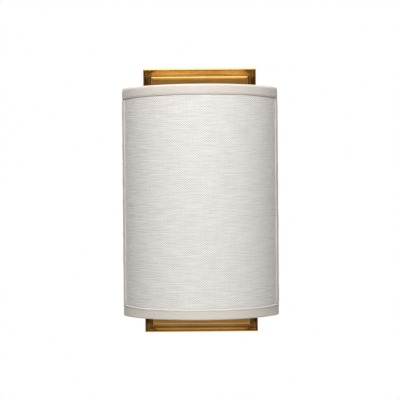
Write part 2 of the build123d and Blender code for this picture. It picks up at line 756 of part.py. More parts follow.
with BuildPart() as wire_connectors:
    for side in (-1, 1):
        connector_x = side * connector_offset
        with BuildSketch(Plane((connector_x, -connector_depth, 0), x_dir=(1, 0, 0), z_dir=(0, -1, 0))):
            Polygon(
                (0, connector_z),
                (connector_mouth / 2, connector_z),
                (connector_tip / 2, connector_z + connector_length),
                (0, connector_z + connector_length),
                align=None,
            )
        revolve(axis=Axis((connector_x, -connector_depth, 0), (0, 0, 1)))
wire_connectors.part.label = "wire_connectors"
export_step(wire_connectors.part, "parts/wire_connectors.step")

# ---------------------------------------------------------------- shade: wire frame
shade_rings = {}
for level, ring_z in (("top", top_ring_z), ("bottom", bottom_ring_z)):
    with BuildPart() as shade_ring:
        with BuildSketch(Plane((0, shade_axis_y, ring_z), x_dir=(0, -1, 0), z_dir=(1, 0, 0))):
            with Locations((ring_radius, 0)):
                Circle(wire_diameter / 2)
        revolve(axis=Axis((0, shade_axis_y, 0), (0, 0, 1)))
        split(bisect_by=Plane.XZ.offset(ring_back), keep=Keep.TOP)
    shade_ring.part.label = f"{level}_ring"
    export_step(shade_ring.part, f"parts/{level}_ring.step")
    shade_rings[level] = shade_ring.part

for side_name, side in lamp_sides:
    with BuildPart() as side_wire:
        with BuildSketch(Plane.XY.offset(bottom_ring_z)):
            with Locations((side * side_wire_x, -side_wire_depth)):
                Circle(side_wire_diameter / 2)
        extrude(amount=top_ring_z - bottom_ring_z)
        add(shade_rings["top"], mode=Mode.SUBTRACT)
        add(shade_rings["bottom"], mode=Mode.SUBTRACT)
    side_wire.part.label = f"{side_name}_side_wire"
    export_step(side_wire.part, f"parts/{side_name}_side_wire.step")

for level, bar_z in (("upper", upper_bar_z), ("lower", lower_bar_z)):
    with BuildPart() as crossbar:
        with BuildSketch(Plane.XY.offset(bar_z)):
            with Locations((0, -crossbar_rear)):
                Rectangle(2 * side_wire_x, crossbar_width, align=(Align.CENTER, Align.MAX))
            with Locations((0, shade_axis_y)):
                Circle(liner_inner_radius - bar_clearance, mode=Mode.INTERSECT)
            with Locations((-side_wire_x, -side_wire_depth), (side_wire_x, -side_wire_depth)):
                Circle(side_wire_diameter / 2, mode=Mode.SUBTRACT)
            with Locations((0, -arm_stud_depth)):
                Circle(arm_stud_diameter / 2 + slot_clearance, mode=Mode.SUBTRACT)
                Rectangle(
                    arm_stud_diameter + 2 * slot_clearance,
                    2 * arm_stud_setback,
                    align=(Align.CENTER, Align.MIN),
                    mode=Mode.SUBTRACT,
                )
        extrude(amount=crossbar_thickness)
    crossbar.part.label = f"{level}_crossbar"
    export_step(crossbar.part, f"parts/{level}_crossbar.step")

# ---------------------------------------------------------------- shade: liner and linen
shade_sheets = (
    ("shade_liner", liner_outer_radius, liner_inner_radius),
    ("shade_linen", linen_outer_radius, liner_outer_radius),
)
for sheet_name, outer_radius, inner_radius in shade_sheets:
    with BuildPart() as shade_sheet:
        with BuildSketch(Plane.XY.offset(sheet_bottom)):
            draw_shade_band(outer_radius, inner_radius, ring_back)
        extrude(amount=sheet_top - sheet_bottom)
    shade_sheet.part.label = sheet_name
    export_step(shade_sheet.part, f"parts/{sheet_name}.step")

# ---------------------------------------------------------------- shade: folded tapes
trim_levels = (
    ("top_trim", shade_top, -1),
    ("bottom_trim", shade_bottom, 1),
)
for trim_name, edge_z, inward in trim_levels:
    with BuildPart() as trim:
        with BuildSketch(Plane.XY.offset(edge_z)):
            draw_shade_band(shade_radius, cavity_inner_radius - tape_thickness, shade_back_gap)
        extrude(amount=inward * trim_height)
        fillet(trim.edges().filter_by(Axis.Z), tape_corner_radius)
        end_face = trim.faces().filter_by(Axis.Z).sort_by(Axis.Z)[0 if inward > 0 else -1]
        fillet(end_face.edges(), tape_corner_radius)
        with BuildSketch(Plane.XY.offset(edge_z + inward * tape_thickness)):
            draw_shade_band(cavity_outer_radius, cavity_inner_radius, cavity_back)
        extrude(amount=inward * trim_height, mode=Mode.SUBTRACT)
        with BuildSketch(Plane.XY.offset(edge_z + inward * trim_inner_leg)):
            draw_shade_band(cavity_outer_radius, cavity_inner_radius - 2 * tape_thickness, cavity_back)
        extrude(amount=inward * trim_height, mode=Mode.SUBTRACT)
    trim.part.label = trim_name
    export_step(trim.part, f"parts/{trim_name}.step")

binding_bottom = shade_bottom + trim_height + glue_gap
binding_top = shade_top - trim_height - glue_gap
binding_back = cavity_back - binding_thickness
binding_outer_radius = cavity_outer_radius + binding_thickness
binding_inner_radius = cavity_inner_radius - binding_thickness
binding_hollows = (
    (cavity_inner_radius, cavity_back),
    (binding_inner_radius - binding_thickness, cavity_back + binding_inner_leg),
)
for side_name, side in lamp_sides:
    with BuildPart() as edge_binding:
        with BuildSketch(Plane.XY.offset(binding_bottom)):
            draw_shade_band(binding_outer_radius, binding_inner_radius, binding_back)
            with Locations((side * shade_width / 2, -binding_back)):
                forward = (Align.CENTER, Align.MAX)
                Rectangle(shade_width / 2, binding_width, align=forward, mode=Mode.INTERSECT)
        extrude(amount=binding_top - binding_bottom)
        for hollow_radius, hollow_back in binding_hollows:
            with BuildSketch(Plane.XY.offset(binding_bottom)):
                draw_shade_band(cavity_outer_radius, hollow_radius, hollow_back)
            extrude(amount=binding_top - binding_bottom, mode=Mode.SUBTRACT)
    edge_binding.part.label = f"{side_name}_edge_binding"
    export_step(edge_binding.part, f"parts/{side_name}_edge_binding.step")
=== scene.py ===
"""Wall light: a stepped antique brass backplate behind a curved linen half shade.

Lengths are in metres. The wall is the plane Y = 0, the light stands out towards -Y, X runs to
the right as seen from the room and Z runs up. An angle round the shade is taken at the shade's
upright axis, is zero at the front and grows to the right.
"""

from __future__ import annotations

import json
import logging
import math
from dataclasses import dataclass
from enum import Enum
from typing import NamedTuple

import bmesh
import bpy
import numpy as np
from mathutils import Matrix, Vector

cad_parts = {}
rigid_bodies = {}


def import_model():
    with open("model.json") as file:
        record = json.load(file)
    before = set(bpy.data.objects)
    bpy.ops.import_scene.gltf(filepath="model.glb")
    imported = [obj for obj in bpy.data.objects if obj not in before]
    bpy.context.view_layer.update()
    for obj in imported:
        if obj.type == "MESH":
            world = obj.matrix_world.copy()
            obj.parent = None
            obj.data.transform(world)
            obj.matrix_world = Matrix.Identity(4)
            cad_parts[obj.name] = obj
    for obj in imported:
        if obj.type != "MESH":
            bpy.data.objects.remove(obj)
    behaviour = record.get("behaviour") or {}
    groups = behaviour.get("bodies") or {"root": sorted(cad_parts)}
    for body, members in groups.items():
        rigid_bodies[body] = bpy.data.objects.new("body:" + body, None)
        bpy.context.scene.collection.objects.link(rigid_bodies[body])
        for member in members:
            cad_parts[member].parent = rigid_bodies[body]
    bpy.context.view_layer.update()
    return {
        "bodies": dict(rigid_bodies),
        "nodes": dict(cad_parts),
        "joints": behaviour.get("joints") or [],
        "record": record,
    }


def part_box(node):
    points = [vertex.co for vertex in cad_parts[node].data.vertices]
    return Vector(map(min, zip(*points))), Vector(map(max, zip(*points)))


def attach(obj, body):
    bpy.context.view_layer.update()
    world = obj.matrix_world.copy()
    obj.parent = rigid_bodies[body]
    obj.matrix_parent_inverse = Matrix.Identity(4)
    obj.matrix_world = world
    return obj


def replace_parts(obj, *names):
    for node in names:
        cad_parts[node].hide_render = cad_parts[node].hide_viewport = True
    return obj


LOG = logging.getLogger("wall_light")
Colour = tuple[float, float, float]
Triple = tuple[float, float, float]
Pair = tuple[float, float]
Socket = bpy.types.NodeSocket
Feed = Socket | float | Colour
Numbers = np.ndarray | float
JOIN_DISTANCE = 1e-6


class Run(Enum):
    """How the brushing of a brass piece runs: level all over, or along each side of a frame."""

    LEVEL = "level"
    MITRED = "mitred"


class Level(Enum):
    """Upper or lower end of the shade; the value is the sign of Z that points outwards."""

    TOP = 1
    BOTTOM = -1


class Side(Enum):
    """Left or right as seen from the room; the value is the sign of X."""

    LEFT = -1
    RIGHT = 1


class Ramp(NamedTuple):
    """A range of values and what its two ends map to, eased between them and held beyond."""

    low: float
    high: float
    at_low: float = 0.0
    at_high: float = 1.0


# ---------------------------------------------------------------- meshes
def grid_faces(rows: int, columns: int, wrap: bool = False) -> np.ndarray:
    """Lists the quads of a grid of points.

    Args:
        rows: Points up the grid.
        columns: Points along each row.
        wrap: True where the last column joins the first.

    Returns:
        Four point indices for each quad.
    """
    index = np.arange(rows * columns).reshape(rows, columns)
    if wrap:
        index = np.hstack([index, index[:, :1]])
    quads = np.stack([index[:-1, :-1], index[:-1, 1:], index[1:, 1:], index[1:, :-1]], axis=-1)
    return quads.reshape(-1, 4)


def sheet_faces(rows: int, columns: int) -> np.ndarray:
    """Lists the quads of a closed sheet: a front grid, the same grid behind it turned over, and a rim.

    Args:
        rows: Points up each grid.
        columns: Points along each row.

    Returns:
        Quads over the front grid's points followed by the back grid's.
    """
    count = rows * columns
    index = np.arange(count).reshape(rows, columns)
    front = grid_faces(rows, columns)
    back = front[:, ::-1] + count
    rim = np.concatenate([index[0], index[1:, -1], index[-1, -2::-1], index[-2:0:-1, 0]])
    after = np.roll(rim, -1)
    edge = np.stack([rim, rim + count, after + count, after], axis=-1)
    return np.concatenate([front, back, edge])


def cloth_map(along: np.ndarray, up: np.ndarray) -> np.ndarray:
    """Lays out a cloth map in metres: one row of U, V for each point of a grid.

    Args:
        along: Distance along the cloth, in any shape that spreads over the grid.
        up: Distance up the cloth, likewise.

    Returns:
        U and V, row after row of the grid.
    """
    return np.stack(np.broadcast_arrays(along, up), axis=-1).reshape(-1, 2)


def make_piece(
    name: str, points: np.ndarray, faces: np.ndarray, uv: np.ndarray | None, crease: float
) -> bpy.types.Object:
    """Makes a smooth-shaded mesh object at the origin, with touching points joined.

    Args:
        name: The piece's name.
        points: One row of X, Y, Z for each point.
        faces: Quads of point indices.
        uv: One row of U, V for each point, or None.
        crease: Angle in degrees above which an edge stays sharp.

    Returns:
        The new object, in the scene.
    """
    mesh = bpy.data.meshes.new(name)
    mesh.vertices.add(len(points))
    mesh.vertices.foreach_set("co", points.astype(np.float32).ravel())
    mesh.loops.add(faces.size)
    mesh.loops.foreach_set("vertex_index", faces.astype(np.int32).ravel())
    mesh.polygons.add(len(faces))
    mesh.polygons.foreach_set("loop_start", np.arange(0, faces.size, 4, dtype=np.int32))
    mesh.update(calc_edges=True)
    if uv is not None:
        layer = mesh.uv_layers.new(name="UVMap")
        layer.uv.foreach_set("vector", uv[faces.ravel()].astype(np.float32).ravel())
    shell = bmesh.new()
    shell.from_mesh(mesh)
    bmesh.ops.remove_doubles(shell, verts=shell.verts, dist=JOIN_DISTANCE)
    bmesh.ops.recalc_face_normals(shell, faces=shell.faces)
    shell.to_mesh(mesh)
    shell.free()
    mesh.polygons.foreach_set("use_smooth", np.ones(len(mesh.polygons), dtype=bool))
    mesh.set_sharp_from_angle(angle=math.radians(crease))
    piece = bpy.data.objects.new(name, mesh)
    bpy.context.scene.collection.objects.link(piece)
    return piece


def blurred_noise(shape: tuple[int, int], blur: Pair, seed: int) -> np.ndarray:
    """Makes seeded white noise, blurred by a Gaussian of its own width each way.

    Args:
        shape: Rows and columns.
        blur: The Gaussian's spread in rows and in columns.
        seed: The random generator's seed.

    Returns:
        Noise of that shape whose spread is 1.
    """
    white = np.random.default_rng(seed).normal(size=shape)
    up = np.fft.fftfreq(shape[0])[:, None] * blur[0]
    along = np.fft.rfftfreq(shape[1])[None, :] * blur[1]
    keep = np.exp(-2 * math.pi**2 * (up**2 + along**2))
    noise = np.fft.irfft2(np.fft.rfft2(white) * keep, s=shape)
    return noise / noise.std()


def ease(share: np.ndarray) -> np.ndarray:
    """Turns a share from 0 to 1 into a smooth step: three times its square less twice its cube."""
    held = np.clip(share, 0.0, 1.0)
    return held * held * (3 - 2 * held)


# ---------------------------------------------------------------- finishes
# The middle of a noise's range, where most of it lies.
NOISE_BAND = (0.3, 0.7)


class Recipe:
    """A material's nodes, with short calls for those that several finishes share."""

    def __init__(self, name: str) -> None:
        """Starts a material that has only its shader.

        Args:
            name: The material's name.
        """
        self.material = bpy.data.materials.new(name)
        self.material.use_nodes = True
        self.tree = self.material.node_tree
        self.shader = self.tree.nodes["Principled BSDF"]

    def add(self, kind: str, **settings: str) -> bpy.types.Node:
        """Adds a node.

        Args:
            kind: The node's type, less the ShaderNode that it starts with.
            settings: The node's own properties.

        Returns:
            The node.
        """
        node = self.tree.nodes.new("ShaderNode" + kind)
        for key, value in settings.items():
            setattr(node, key, value)
        return node

    def feed(self, target: Socket, source: Feed) -> None:
        """Links a socket to another, or sets it to a plain value.

        Args:
            target: The socket that takes it.
            source: The other socket, or the value.
        """
        if isinstance(source, bpy.types.NodeSocket):
            self.tree.links.new(source, target)
        else:
            target.default_value = source

    def set(self, **values: Feed) -> None:
        """Sets the shader's own sockets; a name's underscores stand for spaces."""
        for key, value in values.items():
            self.feed(self.shader.inputs[key.replace("_", " ")], value)

    def place(self) -> Socket:
        """Gives the piece's own Object coordinates."""
        return self.add("TexCoord").outputs["Object"]

    def cloth(self) -> Socket:
        """Gives the piece's own cloth map."""
        return self.add("TexCoord").outputs["UV"]

    def stretch(self, vector: Socket, scale: Triple, turn: float = 0.0, shift: Triple = (0, 0, 0)) -> Socket:
        """Scales, turns and shifts coordinates.

        Args:
            vector: The coordinates.
            scale: What each is multiplied by.
            turn: A turn about Z in radians, after the scaling.
            shift: What is added at the end.

        Returns:
            The new coordinates.
        """
        node = self.add("Mapping")
        self.feed(node.inputs["Vector"], vector)
        self.feed(node.inputs["Scale"], scale)
        self.feed(node.inputs["Rotation"], (0, 0, turn))
        self.feed(node.inputs["Location"], shift)
        return node.outputs["Vector"]

    def noise(self, vector: Socket, scale: float = 1.0, detail: float = 2.0, rough: float = 0.5) -> Socket:
        """Gives smooth noise from 0 to 1.

        Args:
            vector: The coordinates.
            scale: How often the noise swings in one unit of them.
            detail: How many finer layers are added.
            rough: How strong each finer layer is.

        Returns:
            The noise.
        """
        node = self.add("TexNoise")
        self.feed(node.inputs["Vector"], vector)
        self.feed(node.inputs["Scale"], scale)
        self.feed(node.inputs["Detail"], detail)
        self.feed(node.inputs["Roughness"], rough)
        return node.outputs["Fac"]

    def axes(self, vector: Socket) -> tuple[Socket, ...]:
        """Splits a vector.

        Args:
            vector: The vector.

        Returns:
            Its X, Y and Z.
        """
        node = self.add("SeparateXYZ")
        self.feed(node.inputs[0], vector)
        return tuple(node.outputs)

    def figure(self, operation: str, first: Feed, second: Feed = 0.0) -> Socket:
        """Works out one operation on one or two numbers.

        Args:
            operation: The Math node's name for it.
            first: The first number.
            second: The second number, where the operation takes two.

        Returns:
            The result.
        """
        node = self.add("Math", operation=operation)
        self.feed(node.inputs[0], first)
        self.feed(node.inputs[1], second)
        return node.outputs[0]

    def plus(self, first: Feed, second: Feed) -> Socket:
        """Adds two numbers."""
        return self.figure("ADD", first, second)

    def less(self, first: Feed, second: Feed) -> Socket:
        """Takes the second number from the first."""
        return self.figure("SUBTRACT", first, second)

    def times(self, first: Feed, second: Feed) -> Socket:
        """Multiplies two numbers."""
        return self.figure("MULTIPLY", first, second)

    def span(self, value: Feed, ramp: Ramp) -> Socket:
        """Maps a value along a ramp.

        Args:
            value: The value.
            ramp: The range and what it maps to.

        Returns:
            The mapped value.
        """
        node = self.add("MapRange", interpolation_type="SMOOTHSTEP")
        for socket, number in zip(node.inputs, (value, *ramp)):
            self.feed(socket, number)
        return node.outputs["Result"]

    def blend(self, share: Feed, first: Feed, second: Feed) -> Socket:
        """Mixes two numbers.

        Args:
            share: The share of the second, from 0 to 1.
            first: The first number.
            second: The second number.

        Returns:
            The mixture.
        """
        node = self.add("Mix", data_type="FLOAT")
        for index, number in ((0, share), (2, first), (3, second)):
            self.feed(node.inputs[index], number)
        return node.outputs[0]

    def tint(self, share: Feed, first: Feed, second: Feed) -> Socket:
        """Mixes two colours.

        Args:
            share: The share of the second, from 0 to 1.
            first: The first colour.
            second: The second colour.

        Returns:
            The mixture.
        """
        node = self.add("Mix", data_type="RGBA")
        self.feed(node.inputs[0], share)
        for index, colour in ((6, first), (7, second)):
            self.feed(node.inputs[index], (*colour, 1.0) if isinstance(colour, tuple) else colour)
        return node.outputs[2]

    def bump(self, height: Feed, depth: float) -> None:
        """Raises the surface.

        Args:
            height: The height, in units of the depth.
            depth: What a height of 1 stands for, in metres.
        """
        node = self.add("Bump")
        self.feed(node.inputs["Strength"], 1.0)
        self.feed(node.inputs["Distance"], depth)
        self.feed(node.inputs["Height"], height)
        self.set(Normal=node.outputs["Normal"])


def shade_of(colour: Colour, amount: float) -> Colour:
    """Gives a colour multiplied by an amount."""
    return (colour[0] * amount, colour[1] * amount, colour[2] * amount)


def around(band: Pair, middle: float, spread: float) -> Ramp:
    """Gives a ramp over a band, from a spread below a middle value to a spread above it."""
    return Ramp(*band, middle - spread, middle + spread)


@dataclass(frozen=True)
class WovenCloth:
    """Plain-woven cloth with uneven threads, on a cloth map in metres.

    Attributes:
        colour, shadow: The face of a thread, and the gap beside it.
        thread_along, thread_up: From thread to thread, along the map and up it.
        weave_contrast, slub_contrast, blotch_contrast: How far each moves the colour.
        slub_length, slub_width: Size of a level slub.
        turn: Turn of the weave on the map.
        drift, blotch: How often in a metre, each way, the threads wander and the tone clouds.
        swing: How far the threads wander, in radians of their own wave.
        level_slub, upright_slub: The band of noise from between two slubs to the middle of one.
        upright_share, upright_scale: Strength and fineness of the upright slubs.
        upright_shift: What sets the upright slubs' noise apart from the level ones'.
        thread_height, slub_height: Shares of the relief.
    """

    name: str
    colour: Colour
    shadow: Colour
    thread_along: float
    thread_up: float
    weave_contrast: float
    slub_contrast: float
    slub_length: float
    slub_width: float
    relief: float
    turn: float = 0.0
    drift: Triple = (55.0, 90.0, 1.0)
    swing: float = 2.2
    level_slub: Ramp = Ramp(0.36, 0.60, -0.5, 0.5)
    upright_slub: Ramp = Ramp(*NOISE_BAND, -0.5, 0.5)
    upright_share: float = 0.35
    upright_scale: float = 0.7
    upright_shift: Triple = (3.0, 5.0, 0.0)
    blotch: Triple = (28.0, 60.0, 1.0)
    blotch_contrast: float = 0.25
    roughness: Ramp = Ramp(0.0, 1.0, 0.96, 0.82)
    thread_height: float = 0.3
    slub_height: float = 0.8

    def weave(self, recipe: Recipe, cloth: Socket) -> Socket:
        """Gives the threads: the product of a sine along the map and a sine up it.

        Args:
            recipe: The material's nodes.
            cloth: The cloth map.

        Returns:
            A number from -1 to 1.
        """
        drift = recipe.noise(recipe.stretch(cloth, self.drift), detail=1)
        swing = recipe.times(recipe.less(drift, 0.5), self.swing)
        along, up, _ = recipe.axes(recipe.stretch(cloth, (1, 1, 1), turn=self.turn))
        warp = recipe.plus(recipe.times(along, math.pi / self.thread_along), swing)
        weft = recipe.plus(recipe.times(up, math.pi / self.thread_up), swing)
        return recipe.times(recipe.figure("SINE", warp), recipe.figure("SINE", weft))

    def slubs(self, recipe: Recipe, cloth: Socket) -> Socket:
        """Gives the slubs: noise drawn out along the map, and weaker noise drawn out up it.

        Args:
            recipe: The material's nodes.
            cloth: The cloth map.

        Returns:
            A number on both sides of 0.
        """
        long, fine = 1 / self.slub_length, 1 / self.slub_width
        level = recipe.noise(recipe.stretch(cloth, (long, fine, 1)))
        upright_size = (fine * self.upright_scale, long * self.upright_scale, 1)
        upright = recipe.noise(recipe.stretch(cloth, upright_size, shift=self.upright_shift))
        weak = recipe.times(recipe.span(upright, self.upright_slub), self.upright_share)
        return recipe.plus(recipe.span(level, self.level_slub), weak)

    def build(self) -> bpy.types.Material:
        """Makes the material: its tone is the sum of weave, slubs and broad blotches.

        Returns:
            The finished material.
        """
        recipe = Recipe(self.name)
        cloth = recipe.cloth()
        weave = self.weave(recipe, cloth)
        slubs = self.slubs(recipe, cloth)
        blotch = recipe.less(recipe.noise(recipe.stretch(cloth, self.blotch), detail=3), 0.5)
        tone = recipe.times(weave, self.weave_contrast / 2)
        # The slubs move the tone both ways: partly the yarn's own tone, partly painted shadow along the
        # thicker threads.
        tone = recipe.plus(tone, recipe.times(slubs, self.slub_contrast))
        tone = recipe.plus(tone, recipe.times(blotch, self.blotch_contrast))
        tone = recipe.plus(tone, 0.5)
        recipe.set(Base_Color=recipe.tint(tone, self.shadow, self.colour))
        recipe.set(Roughness=recipe.span(tone, self.roughness), Specular_IOR_Level=0.25)
        recipe.set(Sheen_Weight=0.1, Sheen_Roughness=0.5)
        threads = recipe.times(weave, self.thread_height)
        recipe.bump(recipe.plus(threads, recipe.times(slubs, self.slub_height)), self.relief)
        return recipe.material


@dataclass(frozen=True)
class AntiqueBrass:
    """Brushed brass that was darkened, worn back and lacquered, with painted light, shade, highlights and
    reflections in its colour.

    A distance from the outline is taken in the plane of the wall and is negative inside it. A
    ramp whose name ends in sides is over the distance from the left and right sides alone.

    Attributes:
        half_width, half_height, front: How far the sides, ends and front lie from the origin.
        dark_below, bright_below: How far behind the front a place counts as low, and as high.
        colour, patina, cleaned: The brass, its dark film, and the paler brass of the low places, which is a
            painted reflection.
        low_reflection_sides: Where the low places go back to the colour of the high ones.
        bare: The tone at which no film is left; at a tone of 0 the film is whole.
        worn: What the high places gain in tone over the low ones.
        painted_light_up, painted_low_share: What the tone gains at the top as painted light, and how much of
            that at the bottom; a negative gain paints shade at the top instead.
        stroke_tone, cloud_tone, cloud_scale: What strokes and clouds add to the tone, and how
            often in a metre the clouds swing.
        rubbed, rub_highlight_width: The brass of the outer edge, worn back and also a painted highlight, and
            how wide it is.
        rub_highlight_clouds, rub_highlight_rise: How much of that edge the clouds and the painted light's
            rise leave.
        scratch, stroke_length, stroke_width: Height and size of a stroke.
        upright_shift: What sets the upright strokes' noise apart from the level ones'.
        soft_edge, soft_drop: Width of the rounded edge, and how far its bump falls.
        border, groove: Width of the border, which is 0 where there is none, and of its groove.
        groove_painted_shade: Painted shade, the darkening in the groove.
        lip: How much of the outer strip takes the paler brass of the low places, a painted reflection, where
            it is low.
        painted_cove_reflection: A painted reflection, the pale brass of the cove's steep strip, which lies
            from steep_start to steep_end.
    """

    name: str
    half_width: float
    half_height: float
    front: float
    run: Run
    dark_below: float
    bright_below: float
    colour: Colour
    worn: float
    painted_light_up: float
    painted_low_share: float
    rubbed_highlight: Colour
    rub_highlight_width: float
    soft_edge: float
    soft_drop: float
    patina: Colour = (0.15, 0.070, 0.015)
    low_painted_reflection: Colour = (0.42, 0.275, 0.100)
    low_reflection_sides: Ramp = Ramp(-0.026, -0.011)
    bare: float = 1.1
    cloud_scale: float = 38.0
    stroke_tone: Ramp = Ramp(0.25, 0.75, -0.22, 0.22)
    cloud_tone: Ramp = Ramp(0.3, 0.7, -0.18, 0.12)
    rub_highlight_clouds: Ramp = Ramp(0.2, 0.6, 0.35, 0.9)
    rub_highlight_rise: Ramp = Ramp(0.0, 1.0, 0.4, 0.6)
    roughness: Ramp = Ramp(0.2, 0.8, 0.30, 0.42)
    scratch: float = 0.00002
    stroke_length: float = 0.06
    stroke_width: float = 0.0011
    upright_shift: float = 7.0
    border: float = 0.0
    groove: float = 0.0028
    groove_painted_shade: Colour = (0.025, 0.014, 0.006)
    groove_shade_sides: Ramp = Ramp(-0.020, -0.010, 0.7, 1.0)
    lip: Ramp = Ramp(-0.0060, -0.0030, 0.0, 0.8)
    painted_cove_reflection: Colour = (0.86, 0.70, 0.40)
    steep_start: Ramp = Ramp(-0.0050, -0.0038)
    steep_end: Ramp = Ramp(-0.0018, -0.0012, 1.0, 0.0)
    steep_sides: Ramp = Ramp(-0.020, -0.011, 1.0, 0.0)

    def strokes(self, recipe: Recipe, place: Socket, upright: bool) -> Socket:
        """Gives noise drawn out along Z where it is upright, and otherwise along X.

        Args:
            recipe: The material's nodes.
            place: The coordinates.
            upright: True for strokes along Z, which have noise of their own.

        Returns:
            The noise, from 0 to 1.
        """
        long, fine = 1 / self.stroke_length, 1 / self.stroke_width
        scale = (fine, fine, long) if upright else (long, fine, fine)
        shift = (self.upright_shift,) * 3 if upright else (0.0, 0.0, 0.0)
        return recipe.noise(recipe.stretch(place, scale, shift=shift), detail=3, rough=0.6)

    def worked_border(
        self, recipe: Recipe, colour: Socket, low_painted_reflection: Socket, raised: Socket, past: Socket, past_side: Socket
    ) -> Socket:
        """Pales the lip's foot and the cove's steep strip, which is painted reflection, and darkens the
        groove, which is painted shade.

        Args:
            recipe: The material's nodes.
            colour: The colour so far.
            low_painted_reflection: The paler brass of the low places, a painted reflection.
            raised: 1 on the high places and 0 on the low ones.
            past: Distance from the outline.
            past_side: Distance from the left and right sides.

        Returns:
            The new colour.
        """
        # Painted reflection: the lip's foot takes the paler brass of the low places.
        foot = recipe.times(recipe.span(past, self.lip), recipe.less(1.0, raised))
        colour = recipe.tint(foot, colour, low_painted_reflection)
        # Painted reflection: the cove's steep strip takes a pale brass.
        steep = recipe.times(recipe.span(past, self.steep_start), recipe.span(past, self.steep_end))
        steep = recipe.times(steep, recipe.span(past_side, self.steep_sides))
        colour = recipe.tint(steep, colour, self.painted_cove_reflection)
        # Painted shade: the groove beside the panel is darkened, most along the left and right sides.
        groove_shade = recipe.span(past, Ramp(-self.border, self.groove - self.border, 1.0, 0.0))
        groove_shade = recipe.times(groove_shade, recipe.span(past_side, self.groove_shade_sides))
        return recipe.tint(groove_shade, colour, self.groove_painted_shade)

    def build(self) -> bpy.types.Material:
        """Makes the material: strokes, patina in the low places, painted light that changes with height, a
        paler painted reflection in the low places and the cove, worn outer edges that also carry a painted
        highlight, and painted shade in the groove.

        The bump falls towards the outline by the square of how far into the soft edge a point is.

        Returns:
            The finished material.
        """
        recipe = Recipe(self.name)
        place = recipe.place()
        x, y, z = recipe.axes(place)
        past_side = recipe.less(recipe.figure("ABSOLUTE", x), self.half_width)
        past_end = recipe.less(recipe.figure("ABSOLUTE", z), self.half_height)
        past = recipe.figure("MAXIMUM", past_side, past_end)
        brushed = self.strokes(recipe, place, upright=False)
        rise = recipe.span(z, Ramp(-self.half_height, self.half_height, self.painted_low_share, 1.0))
        if self.run is Run.MITRED:
            on_side = recipe.figure("GREATER_THAN", past_side, past_end)
            brushed = recipe.blend(on_side, brushed, self.strokes(recipe, place, upright=True))
            rise = recipe.times(rise, recipe.less(1.0, on_side))
        cloud = recipe.noise(place, self.cloud_scale, detail=4, rough=0.6)
        tone = recipe.plus(recipe.span(brushed, self.stroke_tone), recipe.span(cloud, self.cloud_tone))
        # Painted light: the tone gains towards the top. On the frame the left and right sides gain nothing
        # and stay darker. A negative gain, as on the panel, paints shade at the top.
        tone = recipe.plus(tone, recipe.times(rise, self.painted_light_up))
        # Painted reflection: away from the left and right sides, the low places take a paler brass.
        low_painted_reflection = recipe.tint(recipe.span(past_side, self.low_reflection_sides), self.low_painted_reflection, self.colour)
        low = recipe.tint(recipe.span(tone, Ramp(0.0, self.bare)), self.patina, low_painted_reflection)
        film_gone = recipe.span(tone, Ramp(-self.worn, self.bare - self.worn))
        high = recipe.tint(film_gone, self.patina, self.colour)
        heights = Ramp(self.front - self.dark_below, self.front - self.bright_below)
        raised = recipe.span(recipe.times(y, -1.0), heights)
        colour = recipe.tint(raised, low, high)
        if self.border:
            colour = self.worked_border(recipe, colour, low_painted_reflection, raised, past, past_side)
        # The outer edges take a paler brass: wear, and also a painted highlight along the rounded edges. On
        # the frame the painted light's rise gives the top and bottom runs more of it than the sides.
        at_edge = recipe.span(past, Ramp(-self.rub_highlight_width, 0.0))
        rubbed_highlight = recipe.times(at_edge, recipe.span(cloud, self.rub_highlight_clouds))
        if self.run is Run.MITRED:
            rubbed_highlight = recipe.times(rubbed_highlight, recipe.span(rise, self.rub_highlight_rise))
        recipe.set(Base_Color=recipe.tint(rubbed_highlight, colour, self.rubbed_highlight), Metallic=1.0)
        recipe.set(Roughness=recipe.span(brushed, self.roughness), Coat_Weight=0.1, Coat_Roughness=0.22)
        into_edge = recipe.figure("MAXIMUM", recipe.figure("DIVIDE", past, self.soft_edge), -1.0)
        drop = recipe.figure("POWER", recipe.plus(into_edge, 1.0), 2.0)
        scratches = recipe.times(brushed, self.scratch)
        recipe.bump(recipe.less(scratches, recipe.times(drop, self.soft_drop)), 1.0)
        return recipe.material


@dataclass(frozen=True)
class WorkedMetal:
    """Turned, drawn, plated or painted metal.

    Attributes:
        grain, blotch: How often in a metre the tool marks and the clouding swing.
        variation: How much darker the dark places are.
        uneven: Share by which the roughness varies.
        tone, marks: The bands of noise over which the colour and the roughness change.
    """

    name: str
    colour: Colour
    roughness: float
    metallic: float = 1.0
    grain: Triple = (900.0, 900.0, 900.0)
    blotch: float = 90.0
    variation: float = 0.22
    uneven: float = 0.25
    relief: float = 0.00001
    coat: float = 0.0
    tone: Ramp = Ramp(0.35, 0.65)
    marks: Pair = (0.25, 0.75)

    def build(self) -> bpy.types.Material:
        """Makes the material: tool marks on a fine grain over broad clouding.

        Returns:
            The finished material.
        """
        recipe = Recipe(self.name)
        place = recipe.place()
        marks = recipe.noise(recipe.stretch(place, self.grain), detail=3, rough=0.6)
        cloud = recipe.noise(place, self.blotch, detail=4, rough=0.6)
        tone = recipe.span(recipe.times(recipe.plus(marks, cloud), 0.5), self.tone)
        recipe.set(Base_Color=recipe.tint(tone, shade_of(self.colour, 1 - self.variation), self.colour))
        rough = around(self.marks, self.roughness, self.roughness * self.uneven)
        recipe.set(Roughness=recipe.span(marks, rough), Metallic=self.metallic)
        recipe.set(Coat_Weight=self.coat, Coat_Roughness=0.15)
        recipe.bump(marks, self.relief)
        return recipe.material


